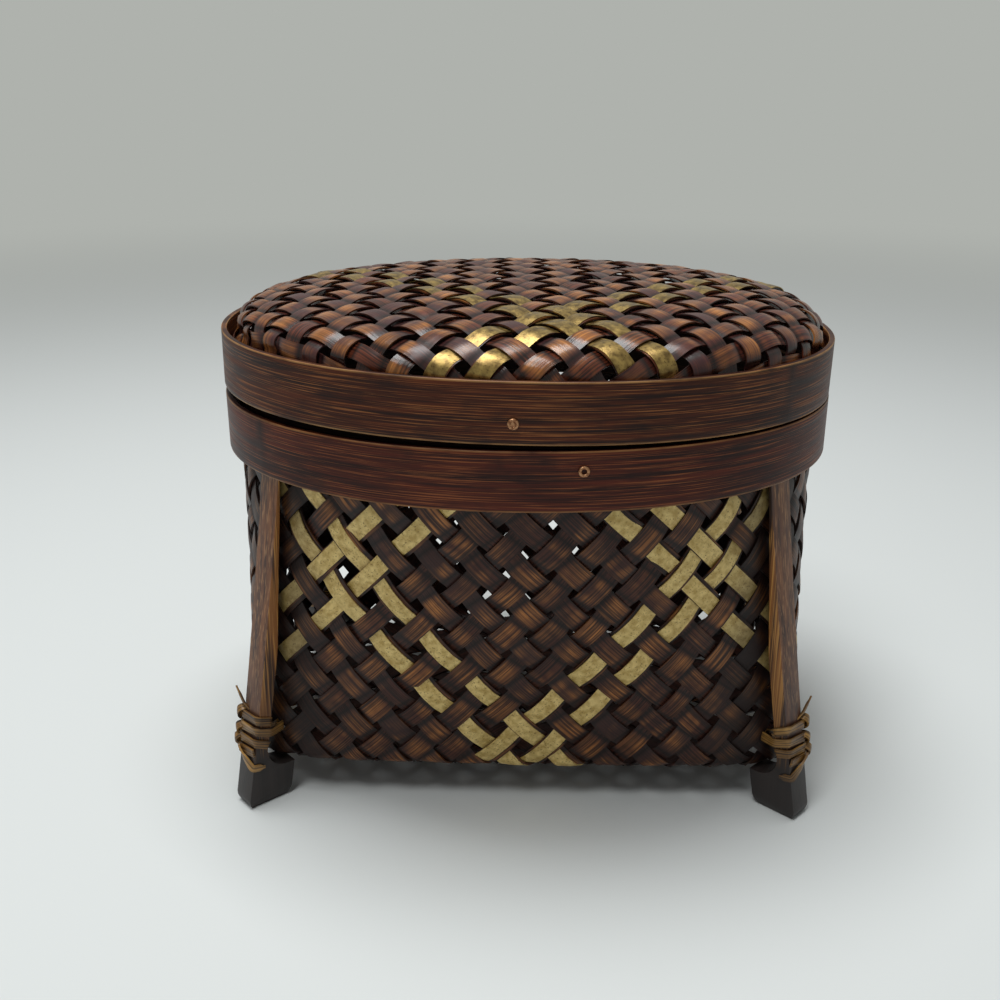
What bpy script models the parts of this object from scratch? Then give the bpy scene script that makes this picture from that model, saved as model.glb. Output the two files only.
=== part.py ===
"""A lidded bamboo basket on four splayed legs.

An oval bamboo hoop carries a woven body whose base is a rounded rectangle. Four split bamboo
legs are tucked up behind the hoop and lashed to the body's corners near the bottom. The lid is
a low woven dome in a hoop of the same size, and its inner ring fits round the body's collar.

Metres, +Z up. The origin is on the table, under the middle of the basket. Left and right are
-X and +X, and the front is -Y.
"""

import math

import bmesh
import bpy
import numpy as np
from mathutils import Matrix, Vector

# The two outer hoops, over their outer faces. Roundness is the power of the oval: 2 is an
# ellipse, and more is squarer.
HOOP_WIDTH = 0.1800
HOOP_DEPTH = 0.1470
HOOP_HEIGHT = 0.0162
HOOP_THICKNESS = 0.0016
HOOP_EDGE = 0.0003
HOOP_ROUNDNESS = 2.1

# Running gaps. The piece gap lies between any two pieces that touch on the real basket.
PIECE_GAP = 0.0003
COLLAR_PLAY = 0.0005

# The woven body. Its wall leans in from the rim to a base with much squarer corners, and turns
# under there as a lip round the base's flat mat.
WALL_THICKNESS = 0.0016
WALL_BELOW_HOOP_TOP = 0.0008
WALL_VISIBLE_HEIGHT = 0.0900
BASE_WIDTH = 0.1700
BASE_DEPTH = 0.0995
BASE_ROUNDNESS = 7.0
BASE_EDGE_RADIUS = 0.0030
BASE_LIP = 0.0020

# Openings that show the weave as openwork. They are fewer and larger than the holes between the
# real strips. The lid's lie within a share of its oval.
OPENING_WIDTH = 0.0080
OPENING_HEIGHT = 0.0092
OPENINGS_ROUND = 16
OPENING_ROWS = 4
LID_OPENING_SIZE = 0.0070
LID_OPENINGS_ACROSS = 8
LID_OPENINGS_SHARE = 0.8

# The collar is the ring inside the body's rim, and it stands proud of the hoop.
COLLAR_THICKNESS = 0.0014
COLLAR_ABOVE_HOOP_TOP = 0.0048
COLLAR_BELOW_HOOP_TOP = 0.0145

# The lid sits a little crooked: it rests on the body's hoop at the right and gapes at the left.
# Its dome is skewed: by the two shares it stands higher at the right and lower at the front.
LID_TILT_DEGREES = 0.75
LID_WEAVE_THICKNESS = 0.0014
LID_SHOULDER_RISE = 0.0082
LID_SHOULDER_POWER = 9.0
LID_RIGHT_SHARE = 0.12
LID_FRONT_SHARE = -0.05
LID_CROWN_RISE = 0.0040
LID_SKIRT_DEPTH = 0.0135
LID_RING_THICKNESS = 0.0012
LID_RING_BELOW_HOOP_TOP = 0.0060
LID_RING_ABOVE_HOOP_BOTTOM = 0.0006

# Legs. The bearing is the way a leg faces, from +X towards +Y. On the table a leg's slat would
# stand clear of the basket's corner by the stand, and the flare is the share of its splay that
# comes from its bend. The sway is how far its top bends towards the middle of the front or back.
LEG_BEARING_DEGREES = 43.0
LEG_STAND = 0.0090
LEG_FLARE_SHARE = 0.21
LEG_SWAY = 0.0013
LEG_EDGE = 0.0004
LEG_TIP_THICKNESS = 0.0012
LEG_TIP_HEIGHT = 0.0110
SLAT_TOP_WIDTH = 0.0076
SLAT_THICKNESS = 0.0042
SLAT_CLEARANCE = 0.0006
FOOT_WIDTH = 0.0078
FOOT_THICKNESS = 0.0142
FOOT_HEIGHT = 0.0110
FOOT_FILLET = 0.0065

# Lashings of split cane, wound round each leg and through two slots in the wall behind it.
CANE_DIAMETER = 0.0020
CANE_GAP = 0.0004
CANE_PITCH = 0.0038
CANE_TURNS = 4
CANE_ABOVE_FOOT = 0.0055
CANE_BEND = 0.0018
CANE_TAIL = 0.0040
CANE_END = 0.0060
CANE_END_DROP = 0.0030
SLOT_END_ROOM = 0.0010

# Copper rivets. The offsets along X and the drops from the hoop's upper edge place the front
# ones, and the back ones stand opposite.
RIVET_HEAD_DIAMETER = 0.0028
RIVET_HEAD_HEIGHT = 0.0007
RIVET_SHANK_DIAMETER = 0.0018
RIVET_BORE_DIAMETER = 0.0010
RIVET_TAIL_THICKNESS = 0.0004
LID_RIVET_OFFSET = -0.0023
LID_RIVET_DROP = 0.0106
BODY_RIVET_OFFSET = 0.0153
BODY_RIVET_DROP = 0.0052

# Counts for the facets.
ROUND_COUNT = 64
WALL_ROWS = 4
BASE_EDGE_ROWS = 3
DOME_RINGS = 6
LEG_ROWS = 5
RIVET_SIDES = 12
CORNER_POINTS = 5
FILLET_STEPS = 3
OUTLINE_FINENESS = 40

# The cane's points stay this share of a corner away from where two corners meet, and its last
# turn is let go at this share of the way round.
CORNER_SHARE = 0.0001
LAST_TURN_SHARE = 0.4

# Any cut runs past the faces that it goes through by this much.
CUT_OVERRUN = 0.0020

# Layers at the rim, each as an inset from the outer hoop's outer face. The collar stands in far
# enough for what lies outside it, both on the body and on the lid.
BEHIND_HOOP = HOOP_THICKNESS + PIECE_GAP
BODY_STACK = BEHIND_HOOP + LEG_TIP_THICKNESS + PIECE_GAP + WALL_THICKNESS + PIECE_GAP
LID_STACK = BEHIND_HOOP + LID_WEAVE_THICKNESS + PIECE_GAP + LID_RING_THICKNESS + COLLAR_PLAY
COLLAR_INSET = max(BODY_STACK, LID_STACK)
WALL_INSET = COLLAR_INSET - PIECE_GAP - WALL_THICKNESS
LID_RING_INSET = COLLAR_INSET - COLLAR_PLAY - LID_RING_THICKNESS

# Heights from the table.
WALL_BOTTOM = FOOT_HEIGHT + PIECE_GAP
BODY_HOOP_BOTTOM = WALL_BOTTOM + WALL_VISIBLE_HEIGHT
BODY_HOOP_TOP = BODY_HOOP_BOTTOM + HOOP_HEIGHT
WALL_TOP = BODY_HOOP_TOP - WALL_BELOW_HOOP_TOP
CANE_LOWEST = FOOT_HEIGHT + CANE_ABOVE_FOOT
CANE_HIGHEST = CANE_LOWEST + CANE_PITCH * CANE_TURNS
CANE_OFFSET = CANE_GAP + CANE_DIAMETER / 2

# The lid is built round the middle of its own hoop, and a tilted empty seats it.
LID_TILT = math.radians(LID_TILT_DEGREES)
LID_EDGE = HOOP_HEIGHT / 2
LID_MIDDLE = (
    BODY_HOOP_TOP
    + PIECE_GAP
    + HOOP_WIDTH / 2 * math.sin(LID_TILT)
    + LID_EDGE * math.cos(LID_TILT)
)

LEG_BEARING = math.radians(LEG_BEARING_DEGREES)

CORNERS = {
    "front_left": (-1, -1),
    "front_right": (1, -1),
    "back_left": (-1, 1),
    "back_right": (1, 1),
}


def clear_scene():
    for obj in list(bpy.data.objects):
        bpy.data.objects.remove(obj, do_unlink=True)


def new_collection(name):
    collection = bpy.data.collections.new(name)
    bpy.context.scene.collection.children.link(collection)
    return collection


def new_material(name, colour, roughness, metallic=0.0):
    material = bpy.data.materials.new(name)
    material.use_nodes = True
    shader = material.node_tree.nodes["Principled BSDF"]
    shader.inputs["Base Color"].default_value = (*colour, 1.0)
    shader.inputs["Roughness"].default_value = roughness
    shader.inputs["Metallic"].default_value = metallic
    return material


def add_object(name, data, collection, material=None, parent=None):
    obj = bpy.data.objects.new(name, data)
    collection.objects.link(obj)
    if material is not None:
        data.materials.append(material)
    obj.parent = parent
    return obj


def shade_round(obj):
    obj.data.shade_smooth()
    obj.data.set_sharp_from_angle(angle=math.radians(40))


def add_wall(obj, thickness):
    """Gives an open surface its thickness, on the inside."""
    wall = obj.modifiers.new("wall", "SOLIDIFY")
    wall.thickness = thickness
    wall.offset = -1
    wall.use_even_offset = True


def add_rounded_edges(obj, width):
    edges = obj.modifiers.new("rounded edges", "BEVEL")
    edges.width = width
    edges.segments = 1
    edges.limit_method = "ANGLE"
    edges.angle_limit = math.radians(50)


def add_cut(obj, cutter):
    cut = obj.modifiers.new(cutter.name, "BOOLEAN")
    cut.operation = "DIFFERENCE"
    cut.object = cutter


def frame_matrix(origin, x_axis, y_axis, z_axis):
    """A placement whose own X, Y and Z look along the three axes."""
    turn = Matrix((x_axis, y_axis, z_axis)).transposed().to_4x4()
    return Matrix.Translation(origin) @ turn


def oval_outline(half_width, half_depth, roundness):
    """Points at equal steps of length round an oval, from +X towards +Y."""
    turn = np.linspace(0, 2 * math.pi, OUTLINE_FINENESS * ROUND_COUNT + 1)
    across = np.sign(np.cos(turn)) * np.abs(np.cos(turn)) ** (2 / roundness)
    along = np.sign(np.sin(turn)) * np.abs(np.sin(turn)) ** (2 / roundness)
    fine = np.stack([half_width * across, half_depth * along], axis=1)
    steps = np.linalg.norm(np.diff(fine, axis=0), axis=1)
    length = np.concatenate([[0], np.cumsum(steps)])
    wanted = np.arange(ROUND_COUNT) * length[-1] / ROUND_COUNT
    return np.stack([np.interp(wanted, length, fine[:, i]) for i in (0, 1)], axis=1)


def rim_outline(inset):
    """The hoop's oval, drawn in by the inset."""
    half_width = HOOP_WIDTH / 2 - inset
    half_depth = HOOP_DEPTH / 2 - inset
    return oval_outline(half_width, half_depth, HOOP_ROUNDNESS)


def rim_point_facing(bearing, inset):
    """The point of the hoop's oval, drawn in by the inset, that faces along the bearing."""
    half_width = HOOP_WIDTH / 2 - inset
    half_depth = HOOP_DEPTH / 2 - inset
    slope = math.tan(bearing) * half_depth / half_width
    ratio = slope ** (1 / (HOOP_ROUNDNESS - 1))
    across = (1 + ratio**HOOP_ROUNDNESS) ** (-1 / HOOP_ROUNDNESS)
    return Vector((half_width * across, half_depth * ratio * across, 0))


def rim_point_at(offset):
    """The front point of the hoop's outer face at this X, and the way that it faces."""
    half_width = HOOP_WIDTH / 2
    half_depth = HOOP_DEPTH / 2
    across = offset / half_width
    along = (1 - abs(across) ** HOOP_ROUNDNESS) ** (1 / HOOP_ROUNDNESS)
    lean = math.copysign(abs(across) ** (HOOP_ROUNDNESS - 1), across) / half_width
    facing = Vector((lean, -(along ** (HOOP_ROUNDNESS - 1)) / half_depth, 0))
    return Vector((offset, -half_depth * along, 0)), facing.normalized()


def wall_section(height, inset=0.0):
    """The body's outline at a height: squarish at the base, and the rim's oval from the hoop up."""
    share = min((height - WALL_BOTTOM) / WALL_VISIBLE_HEIGHT, 1)
    base = oval_outline(BASE_WIDTH / 2 - inset, BASE_DEPTH / 2 - inset, BASE_ROUNDNESS)
    return base * (1 - share) + rim_outline(WALL_INSET + inset) * share


def at_height(outline, height):
    return [(x, y, height) for x, y in outline]


def add_skin(bm, rings):
    """Joins rings of points, top ring first, with faces that look outwards."""
    rows = [[bm.verts.new(point) for point in ring] for ring in rings]
    for upper, lower in zip(rows, rows[1:]):
        for i in range(len(upper)):
            j = (i + 1) % len(upper)
            bm.faces.new((upper[i], lower[i], lower[j], upper[j]))
    return rows


def mesh_from(name, bm):
    mesh = bpy.data.meshes.new(name)
    bm.to_mesh(mesh)
    bm.free()
    return mesh


def build_hoop(name, inset, thickness, bottom, top, parts, material, seat=None):
    """A bent bamboo strip: a band round the oval, given a thickness and rounded edges."""
    bm = bmesh.new()
    outline = rim_outline(inset)
    add_skin(bm, [at_height(outline, top), at_height(outline, bottom)])
    hoop = add_object(name, mesh_from(name, bm), parts, material, seat)
    shade_round(hoop)
    add_wall(hoop, thickness)
    add_rounded_edges(hoop, HOOP_EDGE)
    return hoop


def build_basket_weave(parts, material):
    """The envelope of the woven wall, which leans and turns under at its rounded bottom edge."""
    bm = bmesh.new()
    edge_height = WALL_BOTTOM + BASE_EDGE_RADIUS
    rings = [at_height(wall_section(WALL_TOP), WALL_TOP)]
    for height in np.linspace(BODY_HOOP_BOTTOM, edge_height, WALL_ROWS + 1):
        rings.append(at_height(wall_section(height), height))
    for step in range(1, BASE_EDGE_ROWS + 1):
        turn = math.pi / 2 * step / BASE_EDGE_ROWS
        inset = BASE_EDGE_RADIUS * (1 - math.cos(turn))
        height = edge_height - BASE_EDGE_RADIUS * math.sin(turn)
        rings.append(at_height(wall_section(edge_height, inset), height))
    rings.append(at_height(wall_section(edge_height, BASE_EDGE_RADIUS + BASE_LIP), WALL_BOTTOM))
    add_skin(bm, rings)
    weave = add_object("basket_weave", mesh_from("basket_weave", bm), parts, material)
    shade_round(weave)
    add_wall(weave, WALL_THICKNESS)
    return weave


def build_basket_mat(parts, material):
    """The envelope of the flat woven mat that closes the body's bottom, inside the wall's edge."""
    bm = bmesh.new()
    inset = BASE_EDGE_RADIUS + BASE_LIP + PIECE_GAP
    outline = wall_section(WALL_BOTTOM + BASE_EDGE_RADIUS, inset)
    ring = [bm.verts.new(point) for point in at_height(outline, WALL_BOTTOM)]
    bm.faces.new(reversed(ring))
    mat = add_object("basket_mat", mesh_from("basket_mat", bm), parts, material)
    add_wall(mat, WALL_THICKNESS)
    return mat


def dome_rise(share):
    """How far the dome stands above the lid hoop's upper edge, from its rim (1) to its middle (0)."""
    shoulder = LID_SHOULDER_RISE * math.sqrt(max(1 - share**LID_SHOULDER_POWER, 0))
    return shoulder + LID_CROWN_RISE * (1 - share**2)


def dome_ring(rim, share):
    """One ring of the dome, as the rim's outline drawn in to this share of its size."""
    ring = []
    for x, y in rim * share:
        skew = LID_RIGHT_SHARE * x / HOOP_WIDTH - LID_FRONT_SHARE * y / HOOP_DEPTH
        ring.append((x, y, LID_EDGE + dome_rise(share) * (1 + 2 * skew)))
    return ring


def build_lid_weave(parts, material, seat):
    """The woven dome, and the skirt that the lid's hoop and ring hold between them."""
    rim = rim_outline(BEHIND_HOOP)
    shares = []
    for step in range(DOME_RINGS):
        turn = math.pi / 2 * step / DOME_RINGS
        shares.append(math.cos(turn) ** (2 / LID_SHOULDER_POWER))
    shares.append(shares[-1] / 2)
    rings = [dome_ring(rim, share) for share in reversed(shares)]
    rings.append(at_height(rim, LID_EDGE - LID_SKIRT_DEPTH))
    bm = bmesh.new()
    innermost = add_skin(bm, rings)[0]
    middle = bm.verts.new((0, 0, LID_EDGE + dome_rise(0)))
    for i, vertex in enumerate(innermost):
        bm.faces.new((middle, vertex, innermost[(i + 1) % ROUND_COUNT]))
    weave = add_object("lid_weave", mesh_from("lid_weave", bm), parts, material, seat)
    shade_round(weave)
    add_wall(weave, LID_WEAVE_THICKNESS)
    return weave


def leg_axes(corner):
    """A corner's leg as a point on the table, the way it faces, and the way along the hoop.

    The point is below where the leg's outer face leaves the hoop. The way along the hoop leads
    to the middle of the front or the back.
    """
    mirror = Vector((*corner, 0))
    point = rim_point_facing(LEG_BEARING, BEHIND_HOOP)
    outwards = Vector((math.cos(LEG_BEARING), math.sin(LEG_BEARING), 0))
    along = Vector((-math.sin(LEG_BEARING), math.cos(LEG_BEARING), 0))
    return point * mirror, outwards * mirror, along * mirror


def wall_distance(height, aside):
    """Where the wall's outer face stands at a height, outwards from a leg's point.

    The place is that much aside of the leg's middle line.
    """
    point, outwards, along = leg_axes((1, 1))
    offset = wall_section(height) - np.array(point.xy)
    out = offset @ np.array(outwards.xy)
    side = offset @ np.array(along.xy)
    near = out > -HOOP_DEPTH / 2
    out, side = out[near], side[near]
    order = np.argsort(side)
    return float(np.interp(aside, side[order], out[order]))


def leg_face(height):
    """How far a leg's outer face has splayed outwards at a height below the hoop."""
    splay = wall_distance(WALL_BOTTOM, 0) + SLAT_THICKNESS + LEG_STAND
    drop = 1 - height / BODY_HOOP_BOTTOM
    return splay * drop * (1 - LEG_FLARE_SHARE * (1 - drop))


def leg_width(height):
    """A leg widens steadily from the hoop down to its foot."""
    down = min(max(1 - height / BODY_HOOP_BOTTOM, 0), 1)
    return SLAT_TOP_WIDTH + (FOOT_WIDTH - SLAT_TOP_WIDTH) * down


def slat_back(height):
    """How far out the slat's inner face stands. It is pared away where the wall is in its way."""
    aside = leg_width(height) / 2
    wall = max(wall_distance(height, place) for place in (-aside, 0, aside))
    return max(leg_face(height) - SLAT_THICKNESS, wall + SLAT_CLEARANCE)


def leg_outline():
    """A leg's side view, as distance outwards and height: the tip, the slat and the foot."""
    tip_top = BODY_HOOP_BOTTOM + LEG_TIP_HEIGHT
    slat_bottom = FOOT_HEIGHT + FOOT_FILLET
    points = [(0, tip_top), (-LEG_TIP_THICKNESS, tip_top)]
    points.append((-LEG_TIP_THICKNESS, BODY_HOOP_BOTTOM))
    for height in np.linspace(BODY_HOOP_BOTTOM, slat_bottom, LEG_ROWS + 1)[1:-1]:
        points.append((slat_back(height), height))
    for step in range(FILLET_STEPS + 1):
        turn = math.pi / 2 * step / FILLET_STEPS
        height = slat_bottom - FOOT_FILLET * math.sin(turn)
        points.append((slat_back(slat_bottom) - FOOT_FILLET * (1 - math.cos(turn)), height))
    points.append((leg_face(FOOT_HEIGHT) - FOOT_THICKNESS, FOOT_HEIGHT))
    points.append((leg_face(0) - FOOT_THICKNESS, 0))
    for height in np.linspace(0, BODY_HOOP_BOTTOM, LEG_ROWS + 1):
        points.append((leg_face(height), height))
    return points


def plate_mesh(name, points, thickness):
    """A filled outline in the XY plane, thickened along Z, as one closed mesh."""
    curve = bpy.data.curves.new(name, "CURVE")
    curve.dimensions = "2D"
    curve.fill_mode = "BOTH"
    curve.extrude = thickness / 2
    spline = curve.splines.new("POLY")
    spline.points.add(len(points) - 1)
    for target, (across, up) in zip(spline.points, points):
        target.co = (across, up, 0, 1)
    spline.use_cyclic_u = True
    outline = add_object(name + "_outline", curve, bpy.context.scene.collection)
    graph = bpy.context.evaluated_depsgraph_get()
    mesh = bpy.data.meshes.new_from_object(outline.evaluated_get(graph))
    bpy.data.objects.remove(outline, do_unlink=True)
    bm = bmesh.new()
    bm.from_mesh(mesh)
    bmesh.ops.remove_doubles(bm, verts=bm.verts, dist=PIECE_GAP / 10)
    bmesh.ops.recalc_face_normals(bm, faces=bm.faces)
    bm.to_mesh(mesh)
    bm.free()
    return mesh


def build_leg(name, corner, parts, material):
    """One leg: its side view given a width and a sway along the hoop, and stood at its corner."""
    point, outwards, along = leg_axes(corner)
    up = Vector((0, 0, 1))
    sideways = outwards.cross(up)
    mesh = plate_mesh(name, leg_outline(), SLAT_TOP_WIDTH)
    for vertex in mesh.vertices:
        sway = LEG_SWAY * (vertex.co.y / BODY_HOOP_BOTTOM) ** 2
        vertex.co.z *= leg_width(vertex.co.y) / SLAT_TOP_WIDTH
        vertex.co.z += sway * along.dot(sideways)
    leg = add_object(name, mesh, parts, material)
    leg.matrix_world = frame_matrix(point, outwards, up, sideways)
    add_rounded_edges(leg, LEG_EDGE)
    return leg


def loop_reach(height):
    """How far one turn of cane reaches outwards, inwards and sideways, at its middle line."""
    aside = leg_width(height) / 2 + CANE_OFFSET
    wall = min(wall_distance(height, place) for place in (-aside, 0, aside))
    return leg_face(height) + CANE_OFFSET, wall - WALL_THICKNESS - CANE_OFFSET, aside


def turn_point(share, height):
    """A point of a turn of cane, as distance outwards and sideways.

    The share runs once round four corners, from the outer one towards the middle of the
    basket's front or back, and each corner is a quarter circle.
    """
    corner = min(int(share * 4), 3)
    out, side = ((1, 1), (1, -1), (-1, -1), (-1, 1))[corner]
    angle = math.pi / 2 - 2 * math.pi * share
    outer, inner, aside = loop_reach(height)
    across = (outer + inner) / 2 + out * ((outer - inner) / 2 - CANE_BEND)
    along = side * (aside - CANE_BEND)
    return across + CANE_BEND * math.cos(angle), along + CANE_BEND * math.sin(angle)


def binding_path():
    """The cane's middle line, as distance outwards, distance sideways and height.

    It starts as a free end on the side of the leg, climbs through its turns, and ends in a tail
    that pokes up beside the outer corner.
    """
    shares = []
    for corner in range(4):
        for step in range(CORNER_POINTS):
            within = step / (CORNER_POINTS - 1)
            shares.append((corner + min(max(within, CORNER_SHARE), 1 - CORNER_SHARE)) / 4)
    path = []
    for turn in range(CANE_TURNS + 1):
        for share in shares:
            height = CANE_LOWEST + CANE_PITCH * (turn + share)
            if turn < CANE_TURNS or share < LAST_TURN_SHARE:
                path.append((*turn_point(share, height), height))
    out, aside, height = path[0]
    end = (out - CANE_END, aside, height - CANE_END_DROP)
    out, aside, height = path[-1]
    tail = (out, aside - CANE_TAIL, height + CANE_TAIL)
    return [end, *path, tail]


def least_self_gap(path):
    """The smallest gap between the cane's turns, between points that lie well apart along it."""
    points = np.array(path)
    apart = CORNER_POINTS * 2
    nearest = CANE_PITCH * CANE_TURNS
    for i in range(len(points) - apart):
        distances = np.linalg.norm(points[i + apart :] - points[i], axis=1)
        nearest = min(nearest, float(distances.min()))
    return nearest - CANE_DIAMETER


def build_binding(name, corner, parts, material):
    """One lashing: a single unbroken tube along the cane's path, in the corner's own axes."""
    point, outwards, along = leg_axes(corner)
    curve = bpy.data.curves.new(name, "CURVE")
    curve.dimensions = "3D"
    curve.bevel_depth = CANE_DIAMETER / 2
    curve.bevel_resolution = 1
    curve.use_fill_caps = True
    path = binding_path()
    spline = curve.splines.new("POLY")
    spline.points.add(len(path) - 1)
    for target, (out, side, height) in zip(spline.points, path):
        place = outwards * out + along * side
        target.co = (place.x, place.y, height, 1)
    binding = add_object(name, curve, parts, material)
    binding.location = point
    return binding


def add_openings(weave, name, places, cutters, seat=None):
    """Cuts one diamond through the weave at each place, whose own Z goes through it."""
    bm = bmesh.new()
    for place in places:
        bmesh.ops.create_cone(
            bm, cap_ends=True, segments=4, radius1=1, radius2=1, depth=1, matrix=place
        )
    cutter = add_object(name, mesh_from(name, bm), cutters, parent=seat)
    cutter.hide_render = True
    cutter.display_type = "WIRE"
    add_cut(weave, cutter)


def wall_opening_places():
    """Staggered rows of openings round the wall, between the lashings and the hoop."""
    depth = WALL_THICKNESS + 2 * CUT_OVERRUN
    size = Matrix.Diagonal((OPENING_WIDTH / 2, OPENING_HEIGHT / 2, depth, 1))
    up = Vector((0, 0, 1))
    step = (BODY_HOOP_BOTTOM - CANE_HIGHEST) / (OPENING_ROWS + 1)
    places = []
    for row in range(OPENING_ROWS):
        height = CANE_HIGHEST + (row + 1) * step
        outline = wall_section(height)
        for column in range(OPENINGS_ROUND):
            along = (column + row % 2 / 2) / OPENINGS_ROUND * ROUND_COUNT
            first = int(along)
            start = Vector((*outline[first], height))
            side = Vector((*outline[(first + 1) % ROUND_COUNT], height)) - start
            ahead = side.normalized()
            middle = start + side * (along - first)
            places.append(frame_matrix(middle, ahead, up, ahead.cross(up)) @ size)
    return places


def lid_opening_places():
    """Staggered rows of openings over the top of the dome."""
    size = Matrix.Diagonal((LID_OPENING_SIZE / 2, LID_OPENING_SIZE / 2, 2 * LID_SHOULDER_RISE, 1))
    step = HOOP_WIDTH / LID_OPENINGS_ACROSS
    height = LID_EDGE + LID_SHOULDER_RISE
    places = []
    for row in range(-LID_OPENINGS_ACROSS, LID_OPENINGS_ACROSS + 1):
        for column in range(-LID_OPENINGS_ACROSS, LID_OPENINGS_ACROSS + 1):
            x, y = (column + row % 2 / 2) * step, row * step / 2
            share = math.hypot(x / (HOOP_WIDTH / 2), y / (HOOP_DEPTH / 2))
            if share < LID_OPENINGS_SHARE:
                places.append(Matrix.Translation((x, y, height)) @ size)
    return places


def add_slots(weave, name, corner, cutters):
    """Cuts the two upright slots that a lashing goes through, one on each side of the leg."""
    point, outwards, along = leg_axes(corner)
    bottom = CANE_LOWEST - CANE_DIAMETER / 2 - SLOT_END_ROOM
    top = CANE_HIGHEST + CANE_DIAMETER / 2 + SLOT_END_ROOM
    aside = loop_reach((bottom + top) / 2)[2]
    faces = [wall_distance(height, side) for height in (bottom, top) for side in (-aside, aside)]
    outer = max(faces) + CUT_OVERRUN
    inner = min(faces) - WALL_THICKNESS - CUT_OVERRUN
    size = (outer - inner, CANE_DIAMETER + 2 * CANE_GAP, top - bottom)
    for label, side in (("near", -aside), ("far", aside)):
        bm = bmesh.new()
        bmesh.ops.create_cube(bm, size=1, matrix=Matrix.Diagonal((*size, 1)))
        cutter_name = f"{name}_slot_{label}"
        cutter = add_object(cutter_name, mesh_from(cutter_name, bm), cutters)
        middle = point + outwards * (outer + inner) / 2 + along * side
        middle.z = (bottom + top) / 2
        up = Vector((0, 0, 1))
        cutter.matrix_world = frame_matrix(middle, outwards, up.cross(outwards), up)
        cutter.hide_render = True
        cutter.display_type = "WIRE"
        add_cut(weave, cutter)


def rivet_profile(depth, bore):
    """Half of a rivet's section, as distance from its middle and height above the hoop's face."""
    head = RIVET_HEAD_DIAMETER / 2
    shank = RIVET_SHANK_DIAMETER / 2
    tail = -depth - PIECE_GAP
    points = []
    for step in range(FILLET_STEPS + 1):
        turn = math.pi / 2 * step / FILLET_STEPS
        height = PIECE_GAP + RIVET_HEAD_HEIGHT * math.cos(turn)
        points.append((bore + (head - bore) * math.sin(turn), height))
    points.append((shank, PIECE_GAP))
    points.append((shank, tail))
    points.append((head, tail))
    points.append((head, tail - RIVET_TAIL_THICKNESS))
    points.append((bore, tail - RIVET_TAIL_THICKNESS))
    return points


def build_rivet(name, place, depth, bore, parts, material, seat=None):
    """A turned rivet. One with a bore is a tube, and one without is solid."""
    points = rivet_profile(depth, bore)
    edges = [(i, i + 1) for i in range(len(points) - 1)]
    if bore > 0:
        edges.append((len(points) - 1, 0))
    mesh = bpy.data.meshes.new(name)
    mesh.from_pydata([(x, 0, z) for x, z in points], edges, [])
    rivet = add_object(name, mesh, parts, material, seat)
    rivet.matrix_local = place
    turned = rivet.modifiers.new("turned", "SCREW")
    turned.steps = RIVET_SIDES
    turned.render_steps = RIVET_SIDES
    turned.use_merge_vertices = True
    turned.merge_threshold = PIECE_GAP / 10
    return rivet


def rivet_place(offset, height, back):
    """A placement on the hoop's outer face: own Z looks out of the face, and own Y is up."""
    point, facing = rim_point_at(offset)
    if back:
        point, facing = -point, -facing
    point.z = height
    up = Vector((0, 0, 1))
    return frame_matrix(point, up.cross(facing), up, facing)


def add_rivet_hole(pieces, name, place, depth, cutters, seat=None):
    """Drills the hoop, the weave and the ring behind it for one rivet."""
    bm = bmesh.new()
    radius = RIVET_SHANK_DIAMETER / 2 + PIECE_GAP
    length = depth + 2 * CUT_OVERRUN
    bmesh.ops.create_cone(
        bm, cap_ends=True, segments=RIVET_SIDES, radius1=radius, radius2=radius, depth=length
    )
    cutter = add_object(name + "_hole", mesh_from(name + "_hole", bm), cutters, parent=seat)
    cutter.matrix_local = place @ Matrix.Translation((0, 0, -depth / 2))
    cutter.hide_render = True
    cutter.display_type = "WIRE"
    for piece in pieces:
        add_cut(piece, cutter)


def build_body(parts, cutters, bamboo, woven, dark_bamboo, cane, copper):
    weave = build_basket_weave(parts, woven)
    build_basket_mat(parts, woven)
    collar_top = BODY_HOOP_TOP + COLLAR_ABOVE_HOOP_TOP
    collar_bottom = BODY_HOOP_TOP - COLLAR_BELOW_HOOP_TOP
    hoop = build_hoop(
        "body_hoop_outer", 0, HOOP_THICKNESS, BODY_HOOP_BOTTOM, BODY_HOOP_TOP, parts, bamboo
    )
    collar = build_hoop(
        "body_hoop_inner",
        COLLAR_INSET,
        COLLAR_THICKNESS,
        collar_bottom,
        collar_top,
        parts,
        dark_bamboo,
    )
    for corner_name, corner in CORNERS.items():
        build_leg(f"leg_{corner_name}", corner, parts, dark_bamboo)
        build_binding(f"binding_{corner_name}", corner, parts, cane)
        add_slots(weave, f"binding_{corner_name}", corner, cutters)
    add_openings(weave, "wall_openings", wall_opening_places(), cutters)
    depth = COLLAR_INSET + COLLAR_THICKNESS
    for name, back in (("body_rivet_front", False), ("body_rivet_back", True)):
        place = rivet_place(BODY_RIVET_OFFSET, BODY_HOOP_TOP - BODY_RIVET_DROP, back)
        add_rivet_hole((hoop, weave, collar), name, place, depth, cutters)
        build_rivet(name, place, depth, RIVET_BORE_DIAMETER / 2, parts, copper)


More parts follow.
